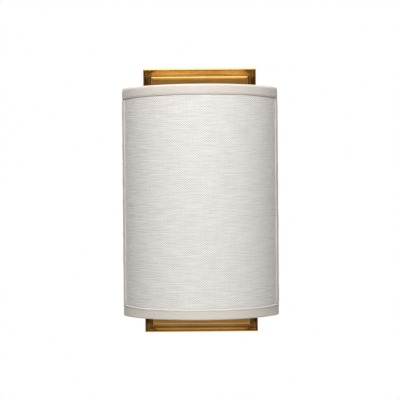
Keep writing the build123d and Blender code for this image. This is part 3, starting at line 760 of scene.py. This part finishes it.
@dataclass(frozen=True)
class Moulded:
    """Moulded or extruded plastic with a fine skin.

    Attributes:
        grain, flow: How often in a metre the skin and the broad clouding swing.
        clouding: How much darker the dark places are.
        uneven: What the roughness varies by.
    """

    name: str
    colour: Colour
    roughness: float
    grain: float = 2200.0
    relief: float = 0.00002
    clouding: float = 0.18
    flow: float = 60.0
    uneven: float = 0.07

    def build(self) -> bpy.types.Material:
        """Makes the material: pebbled skin with slightly uneven gloss.

        Returns:
            The finished material.
        """
        recipe = Recipe(self.name)
        place = recipe.place()
        skin = recipe.noise(place, self.grain, detail=2)
        flow = recipe.noise(place, self.flow, detail=3)
        dark = shade_of(self.colour, 1 - self.clouding)
        recipe.set(Base_Color=recipe.tint(recipe.span(flow, Ramp(*NOISE_BAND)), dark, self.colour))
        rough = around(NOISE_BAND, self.roughness, self.uneven)
        recipe.set(Roughness=recipe.span(flow, rough), Specular_IOR_Level=0.45)
        recipe.bump(skin, self.relief)
        return recipe.material


@dataclass(frozen=True)
class PaleFloor:
    """Matt pale ground that keeps a faint shadow and looks white to the eye."""

    name: str
    colour: Colour = (0.80, 0.80, 0.79)
    glow: float = 0.62

    def build(self) -> bpy.types.Material:
        """Makes the material: matt, and lifted towards white for camera rays alone.

        Returns:
            The finished material.
        """
        recipe = Recipe(self.name)
        seen = recipe.add("LightPath").outputs["Is Camera Ray"]
        recipe.set(Base_Color=(*self.colour, 1.0), Roughness=0.9, Emission_Color=(1.0, 1.0, 1.0, 1.0))
        recipe.set(Emission_Strength=recipe.times(seen, self.glow))
        return recipe.material


@dataclass(frozen=True)
class FrostedGlass:
    """Thin glass that is etched on its inside.

    Attributes:
        etch: How often in a metre the etch swings.
        etch_dark: What the colour is multiplied by where the etch is deep.
        uneven: What the roughness varies by.
    """

    name: str
    colour: Colour
    roughness: float = 0.42
    etch: float = 420.0
    etch_dark: float = 0.94
    uneven: float = 0.08
    relief: float = 0.00002

    def build(self) -> bpy.types.Material:
        """Makes the material: milky, with a little transmission and an uneven etch.

        Returns:
            The finished material.
        """
        recipe = Recipe(self.name)
        etch = recipe.noise(recipe.place(), self.etch, detail=3)
        recipe.set(Base_Color=recipe.tint(etch, shade_of(self.colour, self.etch_dark), self.colour))
        rough = around(NOISE_BAND, self.roughness, self.uneven)
        recipe.set(Roughness=recipe.span(etch, rough), Transmission_Weight=0.15, IOR=1.45)
        recipe.set(Coat_Weight=0.4, Coat_Roughness=0.05)
        recipe.bump(etch, self.relief)
        return recipe.material


# ---------------------------------------------------------------- shade
@dataclass(frozen=True)
class ShadeCurve:
    """The upright part of a cylinder that every layer of the shade follows.

    Attributes:
        width, projection: Over the tapes, and from the wall to the front.
        back_gap: From the wall to the shade's rear edges.
        top, bottom: Heights of the shade's ends.
        tape: Room that a tape takes up on each face of the shade.
        band: Thickness over the folded tapes.
    """

    width: float
    projection: float
    back_gap: float
    top: float
    bottom: float
    tape: float = 0.0010
    band: float = 0.0064

    @property
    def radius(self) -> float:
        """Outer radius, from the width and the rise of the arc."""
        rise = self.projection - self.back_gap
        return ((self.width / 2) ** 2 + rise**2) / (2 * rise)

    @property
    def axis_y(self) -> float:
        """Where the arc's upright axis stands."""
        return self.radius - self.projection

    def reach(self, radius: float, depth: float) -> float:
        """Gives the angle at which a layer of some radius meets a depth from the wall."""
        return math.acos((depth + self.axis_y) / radius)

    def points(self, radius: Numbers, angle: np.ndarray, height: np.ndarray) -> np.ndarray:
        """Turns radius, angle and height into X, Y, Z.

        X is the radius times the angle's sine, and Y is the axis less the radius times its cosine.

        Args:
            radius: Radius of each point, in any shape that spreads over the grid.
            angle: Angle of each point, likewise.
            height: Height of each point, likewise.

        Returns:
            One row of X, Y, Z for each point.
        """
        x = radius * np.sin(angle)
        y = self.axis_y - radius * np.cos(angle)
        return np.stack(np.broadcast_arrays(x, y, height), axis=-1).reshape(-1, 3)


@dataclass
class LinenCover:
    """The slubbed linen that is laminated to the shade's backing sheet.

    Attributes:
        glue: Gap between the cover and the tapes.
        slub_height: Spread of the slubs' height.
        slub_blur: Size of a slub in rows and in columns.
    """

    curve: ShadeCurve
    glue: float = 0.0001
    thickness: float = 0.0006
    slub_height: float = 0.00005
    slub_blur: Pair = (0.7, 9.0)
    slub_seed: int = 4
    columns: int = 200
    rows: int = 150
    crease: float = 50.0

    def build(self) -> bpy.types.Object:
        """Makes the cover: an arc carried upright, its face raised by long level slubs.

        Returns:
            The piece.
        """
        curve = self.curve
        edge = curve.tape + self.glue
        outer = curve.radius - edge
        reach = curve.reach(outer, curve.back_gap + edge)
        angle = np.linspace(-reach, reach, self.columns)[None, :]
        height = np.linspace(curve.bottom + edge, curve.top - edge, self.rows)[:, None]
        relief = self.slub_height * blurred_noise((self.rows, self.columns), self.slub_blur, self.slub_seed)
        front = curve.points(outer - 2 * self.slub_height + relief, angle, height)
        back = curve.points(outer - self.thickness, angle, height)
        uv = cloth_map(angle * outer, height)
        points = np.concatenate([front, back])
        faces = sheet_faces(self.rows, self.columns)
        piece = make_piece("linen_cover", points, faces, np.concatenate([uv, uv]), self.crease)
        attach(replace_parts(piece, "shade_linen"), "shade")
        return piece


@dataclass(frozen=True)
class Fold:
    """How the tape of one end lies over the wire and on the linen.

    Attributes:
        dome: Height of the domed fold over the wire.
        corner_dome: How much higher the fold is at the ends of the arc.
        bead: How far the hem stands proud of the tape.
        pressed: Share of the tape's thickness that the hem is pressed down by.
    """

    dome: float
    corner_dome: float
    bead: float
    pressed: float


FOLDS = {
    Level.TOP: Fold(dome=0.0036, corner_dome=0.00216, bead=0.0, pressed=0.45),
    Level.BOTTOM: Fold(dome=0.001512, corner_dome=0.00072, bead=0.0006, pressed=0.0),
}


@dataclass
class TrimTape:
    """A linen tape folded over the shade's top or bottom wire, with a rolled hem outside.

    Attributes:
        outer_leg, inner_leg: From the shade's end to the hem, outside and inside.
        end_power: Power of the superellipse that rounds the band's ends in plan.
        bead_width: How far the bead reaches from the hem.
        bead_rise, bead_roll: Shares of the bead's height at the hem and halfway across the bead.
        flare, flare_power: What the outer leg gains at the ends, and how late it does.
        corner_start: Share of the way to an end at which the fold starts to rise.
        ripple, hem_ripple, ripple_blur: Spread of the ripples on the wall and along the hem, and
            their length in points.
        clearance: How much deeper the hollow's closed end lies than the tape is thick.
        hollow_steps: That end's rounding, as shares of the outline and how much deeper each lies.
        roll, wall_start: How far short of the hem its roll and the wall's first ring start.
        fold_saving: What rounding the fold takes off the flat width.
        ring_step: What each ring adds to the cloth map besides its change of depth.
    """

    curve: ShadeCurve
    level: Level
    outer_leg: float = 0.0136
    inner_leg: float = 0.0100
    end_power: float = 3.0
    bead_width: float = 0.0028
    bead_rise: float = 0.7
    bead_roll: float = 0.25
    flare: float = 0.0020
    flare_power: float = 3.0
    corner_start: float = 0.94
    ripple: float = 0.00008
    hem_ripple: float = 0.0002
    ripple_blur: float = 14.0
    ripple_seed: int = 21
    clearance: float = 0.0001
    hollow_steps: tuple[Pair, ...] = ((0.0, 0.0), (0.6, 0.0003), (0.85, 0.0009), (1.0, 0.0019))
    roll: float = 0.0008
    wall_start: float = 0.0006
    fold_saving: float = 0.0010
    ring_step: float = 0.0001
    arc_points: int = 170
    cap_points: int = 15
    roll_rings: int = 3
    wall_rings: int = 26
    dome_rings: int = 11
    crease: float = 60.0

    def plan(self, inset: float) -> tuple[np.ndarray, np.ndarray]:
        """Works out the band's outline in plan, and the middle line that it closes towards.

        The outer arc runs left to right, then a rounded end, the inner arc back and the other
        end. An end is a superellipse: the sideways share is the cosine and the rearward share
        the sine, each to the power two over end_power.

        Args:
            inset: How far inside the tape's outer face the outline lies.

        Returns:
            Radius and angle of the outline, then of the middle line, as two arrays of two rows.
        """
        curve = self.curve
        middle = curve.radius - curve.band / 2
        half = curve.band / 2 - inset
        end_reach = curve.reach(middle, curve.back_gap + curve.band / 2)
        arc = np.linspace(-end_reach, end_reach, self.arc_points)
        turn = np.linspace(0, math.pi, self.cap_points + 2)[1:-1]
        power = 2 / self.end_power
        sideways = np.sign(np.cos(turn)) * np.abs(np.cos(turn)) ** power * half
        rearward = np.sin(turn) ** power * half / middle
        outer, inner = np.full(arc.size, middle + half), np.full(arc.size, middle - half)
        radius = np.concatenate([outer, middle + sideways, inner, middle - sideways])
        angle = np.concatenate([arc, end_reach + rearward, arc[::-1], -end_reach - rearward[::-1]])
        ends = np.full(turn.size, end_reach)
        line_angle = np.concatenate([arc, ends, arc[::-1], -ends])
        return np.stack([radius, angle]), np.stack([np.full(line_angle.size, middle), line_angle])

    def outside(self) -> np.ndarray:
        """Gives 1 along the outer arc and the right end and 0 along the inner arc, eased at the left end."""
        blend = ease(np.linspace(0, 1, self.cap_points + 2)[1:-1])
        return np.concatenate([np.ones(self.arc_points + self.cap_points), np.zeros(self.arc_points), blend])

    def rings(self) -> np.ndarray:
        """Works out the tape's rings of points: the hollow, the rolled hem, the wall and the fold.

        Each ring is the plan's outline drawn in towards its middle line and stood proud of it.
        The hem's roll is half a turn from the hollow out to the wall. On the fold the outline
        shrinks by the cosine of the lean while its height grows by the sine.

        Returns:
            Radius, angle and depth from the shade's end, each with a row for each ring.
        """
        fold, tape = FOLDS[self.level], self.curve.tape
        wall, line = self.plan(0.0)
        hollow, _ = self.plan(tape)
        outside = self.outside()
        outwards = np.where(wall[0] >= line[0], 1.0, -1.0) * outside
        seed = self.ripple_seed + self.level.value
        wave = blurred_noise((1, outside.size), (0.0, self.ripple_blur), seed)[0]
        to_end = np.clip(np.abs(line[1]) / line[1].max(), 0, 1)
        hem = self.inner_leg + (self.outer_leg - self.inner_leg) * outside
        hem = hem + self.hem_ripple * wave + self.flare * outside * to_end**self.flare_power
        dome = fold.dome + fold.corner_dome * ease((to_end - self.corner_start) / (1 - self.corner_start))
        found = []

        def ring(outline: np.ndarray, share: float, proud: Numbers, depth: Numbers) -> None:
            """Adds a ring: an outline drawn in by a share, stood proud, at a depth from the end."""
            radius, angle = line + (outline - line) * share
            found.append(np.stack(np.broadcast_arrays(radius + proud, angle, depth)))

        for share, drop in self.hollow_steps:
            ring(hollow, share, 0.0, tape + self.clearance + drop)
        ring(hollow, 1.0, 0.0, hem - self.roll)
        for turn in np.linspace(0, math.pi, self.roll_rings + 2)[1:-1]:
            out = (1 - math.cos(turn)) / 2 * (1 - fold.pressed * outside)
            ring(hollow + (wall - hollow) * out, 1.0, 0.0, hem - self.roll + self.roll * math.sin(turn))
        foot = hem - self.wall_start
        for share in np.linspace(0, 1, self.wall_rings):
            depth = foot + (dome - foot) * share
            from_hem = (hem - depth) / self.bead_width
            fade = ease(1 - from_hem)
            crest = np.sin(np.clip(from_hem, 0, 1) * math.pi)
            proud = fold.bead * (self.bead_rise * fade + self.bead_roll * crest)
            proud = proud - fold.pressed * tape * fade + 4 * share * (1 - share) * self.ripple * wave
            ring(wall, 1.0, outwards * proud, depth)
        for lean in np.linspace(0, math.pi / 2, self.dome_rings + 1)[1:]:
            ring(wall, math.cos(lean), 0.0, dome * (1 - math.sin(lean)))
        return np.stack(found, axis=1)

    def build(self) -> bpy.types.Object:
        """Makes the tape as one closed shell from its rings.

        Returns:
            The piece.
        """
        curve, sign = self.curve, self.level.value
        edge = curve.top if self.level is Level.TOP else curve.bottom
        radius, angle, depth = self.rings()
        points = curve.points(radius, angle, edge - sign * depth)
        faces = grid_faces(*radius.shape, wrap=True)
        travelled = np.cumsum(np.abs(np.diff(depth.mean(axis=1), prepend=0.0)) + self.ring_step)
        uv = cloth_map(angle * curve.radius, travelled[:, None])
        name = f"{self.level.name.lower()}_trim"
        piece = make_piece(f"{name}_tape", points, faces, uv, self.crease)
        span = 2 * curve.reach(curve.radius, curve.back_gap) * curve.radius
        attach(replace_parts(piece, name), "shade")
        return piece


@dataclass
class EdgeBinding:
    """A linen tape folded round one of the shade's upright edges.

    Attributes:
        outer_leg, inner_leg: From the rear edge to the tape's edges, outside and inside.
        trim: Height at each end that the trim tapes take up.
        corner: Radius of the fold's two corners.
        swell, sink: How far the outer leg rises at its crest, and falls towards the rear.
        crest, crest_round: Where the crest lies along the leg, and how round it is.
        tuck, tuck_power: How far the leg's edge is tucked in, and how suddenly.
        wave, wave_blur: Spread of the waves, and their length in rows and in points.
    """

    curve: ShadeCurve
    side: Side
    thickness: float = 0.0007
    outer_leg: float = 0.0091
    inner_leg: float = 0.0090
    trim: float = 0.0161
    corner: float = 0.0011
    swell: float = 0.0011
    sink: float = 0.0008
    crest: float = 0.42
    crest_round: float = 0.12
    tuck: float = 0.0004
    tuck_power: float = 12.0
    wave: float = 0.00012
    wave_blur: Pair = (2.2, 4.0)
    wave_seed: int = 31
    rows: int = 150
    leg_points: int = 22
    corner_points: int = 5
    crease: float = 60.0

    def section(self) -> np.ndarray:
        """Works out the fold in plan: outer leg, corner, flat back, corner and inner leg.

        The outer leg is raised by its swell less a hyperbola of the distance from the crest. It
        also sinks evenly towards the rear, and its front edge is tucked in by a power of the
        distance along the leg.

        Returns:
            Radius and depth from the wall, as two rows.
        """
        curve, corner = self.curve, self.corner
        rear = curve.back_gap + curve.tape - self.thickness
        outer = curve.radius - curve.tape + self.thickness
        inner = curve.radius - curve.band + curve.tape - self.thickness
        leg = np.linspace(1, 0, self.leg_points)
        roof = np.hypot((1 - leg - self.crest) / (1 - self.crest), self.crest_round) - self.crest_round
        raised = self.swell * (1 - roof) - self.sink * (1 - leg) - self.tuck * leg**self.tuck_power
        turn = np.linspace(0, math.pi / 2, self.corner_points + 1)[1:]
        sine, cosine = corner * np.sin(turn), corner * np.cos(turn)
        across = np.linspace(outer - corner, inner + corner, self.corner_points + 1)[1:-1]
        parts = (
            (outer + raised, rear + corner + (self.outer_leg - corner) * leg),
            (outer - corner + cosine, rear + corner - sine),
            (across, np.full(across.size, rear)),
            (inner + corner - sine, rear + corner - cosine),
            (np.full(leg.size, inner), rear + corner + (self.inner_leg - corner) * (1 - leg)),
        )
        return np.concatenate([np.stack(part) for part in parts], axis=1)

    def carry(self, section: np.ndarray, height: np.ndarray) -> np.ndarray:
        """Carries a section up the edge.

        A point's angle is the arc cosine of its distance from the axis towards the wall over
        its radius.

        Args:
            section: Radius and depth from the wall, each a grid with a row for each height.
            height: The heights.

        Returns:
            One row of X, Y, Z for each point.
        """
        radius, depth = section
        share = np.clip((depth + self.curve.axis_y) / radius, -1, 1)
        return self.curve.points(radius, self.side.value * np.arccos(share), height[:, None])

    def build(self) -> bpy.types.Object:
        """Makes the tape: its section carried upright, waved outside and a thickness deep.

        Returns:
            The piece.
        """
        curve = self.curve
        section = self.section()
        step = np.gradient(section, axis=1)
        length = np.hypot(step[0], step[1])
        normal = np.stack([-step[1], step[0]]) / length
        height = np.linspace(curve.bottom + self.trim, curve.top - self.trim, self.rows)
        shape = (self.rows, length.size)
        relief = self.wave * blurred_noise(shape, self.wave_blur, self.wave_seed + self.side.value)
        face = section[:, None, :] + normal[:, None, :] * relief
        under = np.broadcast_to((section - normal * self.thickness)[:, None, :], face.shape)
        points = np.concatenate([self.carry(face, height), self.carry(under, height)])
        uv = cloth_map(np.cumsum(length), height[:, None])
        name = f"{self.side.name.lower()}_edge_binding"
        faces = sheet_faces(*shape)
        piece = make_piece(f"{name}_tape", points, faces, np.concatenate([uv, uv]), self.crease)
        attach(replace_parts(piece, name), "shade")
        return piece


@dataclass
class Shade:
    """The half shade's own pieces: the linen and four tapes."""

    width: float = 0.210

    def curve(self) -> ShadeCurve:
        """Reads the shade's place from the frame."""
        low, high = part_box("top_trim")
        return ShadeCurve(self.width, -low.y, -high.y, high.z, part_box("bottom_trim")[0].z)

    def linen(self) -> bpy.types.Material:
        """Makes the cover's slubbed linen."""
        return WovenCloth(
            "slub_linen", colour=(0.90, 0.864, 0.830), shadow=(0.64, 0.613, 0.587),
            thread_along=0.0018, thread_up=0.0015, weave_contrast=1.9, slub_contrast=0.42,
            slub_length=0.024, slub_width=0.0014, relief=0.00016,
        ).build()

    def tape(self) -> bpy.types.Material:
        """Makes the tapes' finer linen, cut on the bias."""
        return WovenCloth(
            "linen_tape", colour=(0.81, 0.757, 0.690), shadow=(0.65, 0.602, 0.540),
            thread_along=0.0010, thread_up=0.0010, weave_contrast=1.4, slub_contrast=0.2,
            slub_length=0.012, slub_width=0.0008, relief=0.00015, turn=math.radians(45),
        ).build()

    def build(self) -> None:
        """Makes and dresses the pieces."""
        curve, linen, tape = self.curve(), self.linen(), self.tape()
        pieces = [(LinenCover(curve).build(), linen)]
        pieces += [(TrimTape(curve, level).build(), tape) for level in Level]
        pieces += [(EdgeBinding(curve, side).build(), tape) for side in Side]
        for piece, material in pieces:
            piece.data.materials.append(material)
            LOG.info("%s: %d faces", piece.name, len(piece.data.polygons))


# ---------------------------------------------------------------- metalwork, lamps and wiring
@dataclass
class Fittings:
    """The pieces that keep the frame's own meshes, each with its finish."""

    nodes: dict[str, bpy.types.Object]

    def dress(self, names: tuple[str, ...], material: bpy.types.Material) -> None:
        """Gives some of the frame's nodes one material.

        Args:
            names: The nodes' names.
            material: The material.
        """
        for name in names:
            node = self.nodes[name]
            if not node.material_slots:
                node.data.materials.append(material)
            for held in node.material_slots:
                held.material = material
            LOG.info("%s: %s", name, material.name)

    def build_backplate(self) -> None:
        """Dresses the pressed frame and the raised panel in antique brass."""
        low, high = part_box("backplate_frame")
        frame = AntiqueBrass(
            "antique_brass_frame", high.x, high.z, -low.y, Run.MITRED, dark_below=0.0052,
            bright_below=0.0008, colour=(0.37, 0.185, 0.036), patina=(0.115, 0.058, 0.016), worn=0.35,
            painted_light_up=0.9, painted_low_share=0.9, rubbed_highlight=(0.41, 0.220, 0.050), rub_highlight_width=0.0015,
            soft_edge=0.0045, soft_drop=0.0004, border=0.0104,
        )
        self.dress(("backplate_frame",), frame.build())
        low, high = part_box("backplate_panel")
        panel = AntiqueBrass(
            "antique_brass_panel", high.x, high.z, -low.y, Run.LEVEL, dark_below=0.0100,
            bright_below=0.0010, colour=(0.29, 0.143, 0.031), worn=1.45, painted_light_up=-1.05,
            painted_low_share=0.5, rubbed_highlight=(0.43, 0.255, 0.08), rub_highlight_width=0.0017, soft_edge=0.0050,
            soft_drop=0.0007,
        )
        self.dress(("backplate_panel",), panel.build())

    def build_fixings(self) -> None:
        """Dresses the strap, studs, nuts, screws, arms and bracket."""
        zinc = WorkedMetal("zinc_plate", (0.62, 0.63, 0.62), roughness=0.36, blotch=160, variation=0.3)
        self.dress(
            ("mounting_strap", "canopy_studs", "strap_lock_nuts", "upper_shade_arm", "lower_shade_arm",
             "upper_arm_stud", "lower_arm_stud", "lamp_bracket", "panel_screws", "panel_nuts",
             "holder_nipples", "nipple_nuts"), zinc.build(),
        )
        turned = WorkedMetal(
            "turned_brass", (0.62, 0.42, 0.15), roughness=0.28, grain=(300, 1500, 1500), coat=0.3
        )
        self.dress(("cap_nuts", "upper_thumb_nut", "lower_thumb_nut"), turned.build())
        green = WorkedMetal("ground_green", (0.03, 0.27, 0.09), roughness=0.42, metallic=0.35)
        self.dress(("ground_screw",), green.build())

    def build_wire_frame(self) -> None:
        """Dresses the shade's wires, crossbars and backing sheet."""
        coat = WorkedMetal(
            "powder_coat", (0.80, 0.79, 0.76), roughness=0.48, metallic=0.0,
            grain=(1800, 1800, 1800), variation=0.06, relief=0.00003,
        )
        wires = ("top_ring", "bottom_ring", "left_side_wire", "right_side_wire")
        self.dress((*wires, "upper_crossbar", "lower_crossbar"), coat.build())
        styrene = Moulded(
            "styrene", (0.84, 0.83, 0.80), roughness=0.62, grain=900, relief=0.00003, clouding=0.05
        )
        self.dress(("shade_liner",), styrene.build())

    def build_lamps(self) -> None:
        """Dresses the lamp holders and the bulbs."""
        phenolic = Moulded("phenolic", (0.03, 0.026, 0.024), roughness=0.4)
        self.dress(("left_lamp_holder", "right_lamp_holder"), phenolic.build())
        shell = WorkedMetal("pressed_brass", (0.72, 0.52, 0.22), roughness=0.25, grain=(1200, 1200, 300))
        self.dress(("left_screw_shell", "right_screw_shell", "centre_contacts"), shell.build())
        glass = FrostedGlass("frosted_glass", (0.95, 0.94, 0.92))
        self.dress(("left_bulb_glass", "right_bulb_glass"), glass.build())
        nickel = WorkedMetal("nickel_cap", (0.68, 0.66, 0.62), roughness=0.24, grain=(1400, 1400, 400))
        self.dress(("left_bulb_cap", "right_bulb_cap"), nickel.build())
        black = Moulded("black_insulator", (0.02, 0.02, 0.02), roughness=0.35)
        self.dress(("left_bulb_tip", "right_bulb_tip"), black.build())

    def build_wiring(self) -> None:
        """Dresses the bushing, the leads and the wire connectors."""
        finishes = {
            "wire_bushing": Moulded("nylon", (0.03, 0.03, 0.03), roughness=0.5),
            "live_leads": Moulded("black_lead", (0.02, 0.02, 0.022), roughness=0.38),
            "neutral_leads": Moulded("white_lead", (0.78, 0.76, 0.72), roughness=0.42),
            "wire_connectors": Moulded("orange_connector", (0.80, 0.22, 0.02), roughness=0.45),
        }
        for name, finish in finishes.items():
            self.dress((name,), finish.build())

    def build(self) -> None:
        """Dresses every group in turn."""
        self.build_backplate()
        self.build_fixings()
        self.build_wire_frame()
        self.build_lamps()
        self.build_wiring()


# ---------------------------------------------------------------- studio
@dataclass(frozen=True)
class Softbox:
    """A rectangular lamp that faces a point."""

    name: str
    place: Triple
    aim: Triple
    size: Pair
    power: float

    def build(self) -> None:
        """Makes the lamp, turned so that it shines at its aim."""
        lamp = bpy.data.lights.new(self.name, "AREA")
        lamp.shape = "RECTANGLE"
        lamp.size, lamp.size_y = self.size
        lamp.energy = self.power
        holder = bpy.data.objects.new(self.name, lamp)
        bpy.context.scene.collection.objects.link(holder)
        forward = np.array(self.aim) - np.array(self.place)
        back = -forward / np.linalg.norm(forward)
        side = np.cross((0.0, 0.0, 1.0), back)
        side /= np.linalg.norm(side)
        turned = Matrix(np.stack([side, np.cross(back, side), back], axis=1).tolist()).to_4x4()
        turned.translation = self.place
        holder.matrix_world = turned
        holder.visible_camera = False


@dataclass
class Studio:
    """The lamps, the world, the floor and the camera.

    Attributes:
        lamps: A high key lamp in front, a weak one overhead and a weak bounce from below.
        ambient: Strength of the world as a lamp.
        floor_height, floor_radius, floor_forward: Height of the round floor, its size, and how far
            its centre stands in front of the wall.
        picture_width, focal_pixels: Width of the picture and focal length, in pixels.
        camera_yaw, camera_pitch, camera_roll: Turns of the camera in degrees.
    """

    lamps: tuple[Softbox, ...] = (
        Softbox("key_softbox", place=(-0.03, -1.75, 1.6), aim=(0.0, 0.0, 0.0), size=(0.9, 0.7), power=61.0),
        Softbox("top_softbox", place=(-0.12, -0.12, 1.3), aim=(0.0, -0.03, 0.1), size=(0.7, 0.5), power=4.0),
        Softbox(
            "bounce_softbox", place=(0.0, -0.45, -1.3), aim=(0.0, -0.05, -0.1), size=(1.0, 0.8), power=5.5
        ),
    )
    ambient: float = 0.10
    floor_height: float = -1.90
    floor_radius: float = 2.0
    floor_forward: float = 0.75
    floor_sides: int = 96
    floor_rings: int = 7
    picture_width: int = 400
    sensor_width: float = 36.0
    focal_pixels: float = 1325.5
    camera_place: Triple = (-0.0004, -1.806, 0.0127)
    camera_yaw: float = 0.010
    camera_pitch: float = -0.393
    camera_roll: float = 0.492

    def build_world(self) -> None:
        """Makes the world white to the eye, in gloss and through glass, and dimmer as a lamp."""
        world = bpy.data.worlds.new("studio")
        bpy.context.scene.world = world
        world.use_nodes = True
        tree = world.node_tree
        seen = tree.nodes.new("ShaderNodeLightPath")
        reach = seen.outputs["Is Camera Ray"]
        for ray in ("Is Glossy Ray", "Is Transmission Ray"):
            either = tree.nodes.new("ShaderNodeMath")
            either.operation = "MAXIMUM"
            tree.links.new(reach, either.inputs[0])
            tree.links.new(seen.outputs[ray], either.inputs[1])
            reach = either.outputs[0]
        strength = tree.nodes.new("ShaderNodeMapRange")
        tree.links.new(reach, strength.inputs["Value"])
        strength.inputs["To Min"].default_value = self.ambient
        backdrop = tree.nodes["Background"]
        backdrop.inputs["Color"].default_value = (1.0, 1.0, 1.0, 1.0)
        tree.links.new(strength.outputs["Result"], backdrop.inputs["Strength"])

    def build_floor(self) -> None:
        """Makes a round pale floor far below the light, as rings of points about its centre."""
        around = np.linspace(0, 2 * math.pi, self.floor_sides, endpoint=False)
        outwards = np.linspace(0, self.floor_radius, self.floor_rings)[:, None]
        x = outwards * np.cos(around)
        y = outwards * np.sin(around) - self.floor_forward
        points = np.stack([x, y, np.full_like(x, self.floor_height)], axis=-1).reshape(-1, 3)
        floor = make_piece("floor", points, grid_faces(*x.shape, wrap=True), uv=None, crease=30)
        floor.data.materials.append(PaleFloor("pale_floor").build())
        floor.visible_glossy = False

    def build_camera(self) -> None:
        """Makes the camera: turned by roll about its view, then pitch about X, then yaw about Z."""
        lens = bpy.data.cameras.new("camera")
        lens.sensor_width = self.sensor_width
        lens.lens = self.focal_pixels * self.sensor_width / self.picture_width
        camera = bpy.data.objects.new("camera", lens)
        bpy.context.scene.collection.objects.link(camera)
        level = Matrix.Rotation(math.pi / 2, 4, "X")
        yaw = Matrix.Rotation(math.radians(self.camera_yaw), 4, "Z")
        pitch = Matrix.Rotation(math.radians(self.camera_pitch), 4, "X")
        roll = Matrix.Rotation(math.radians(self.camera_roll), 4, "Y")
        camera.matrix_world = Matrix.Translation(self.camera_place) @ yaw @ pitch @ roll @ level
        bpy.context.scene.camera = camera

    def build(self) -> None:
        """Makes the whole studio."""
        bpy.context.scene.view_settings.view_transform = "Standard"
        for lamp in self.lamps:
            lamp.build()
        self.build_world()
        self.build_floor()
        self.build_camera()
        LOG.info("studio ready")


def main() -> None:
    """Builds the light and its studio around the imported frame."""
    logging.basicConfig(level=logging.INFO, format="%(message)s")
    for leftover in list(bpy.data.objects):
        bpy.data.objects.remove(leftover)
    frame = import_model()
    Fittings(frame["nodes"]).build()
    Shade().build()
    Studio().build()


if __name__ == "__main__":
    main()
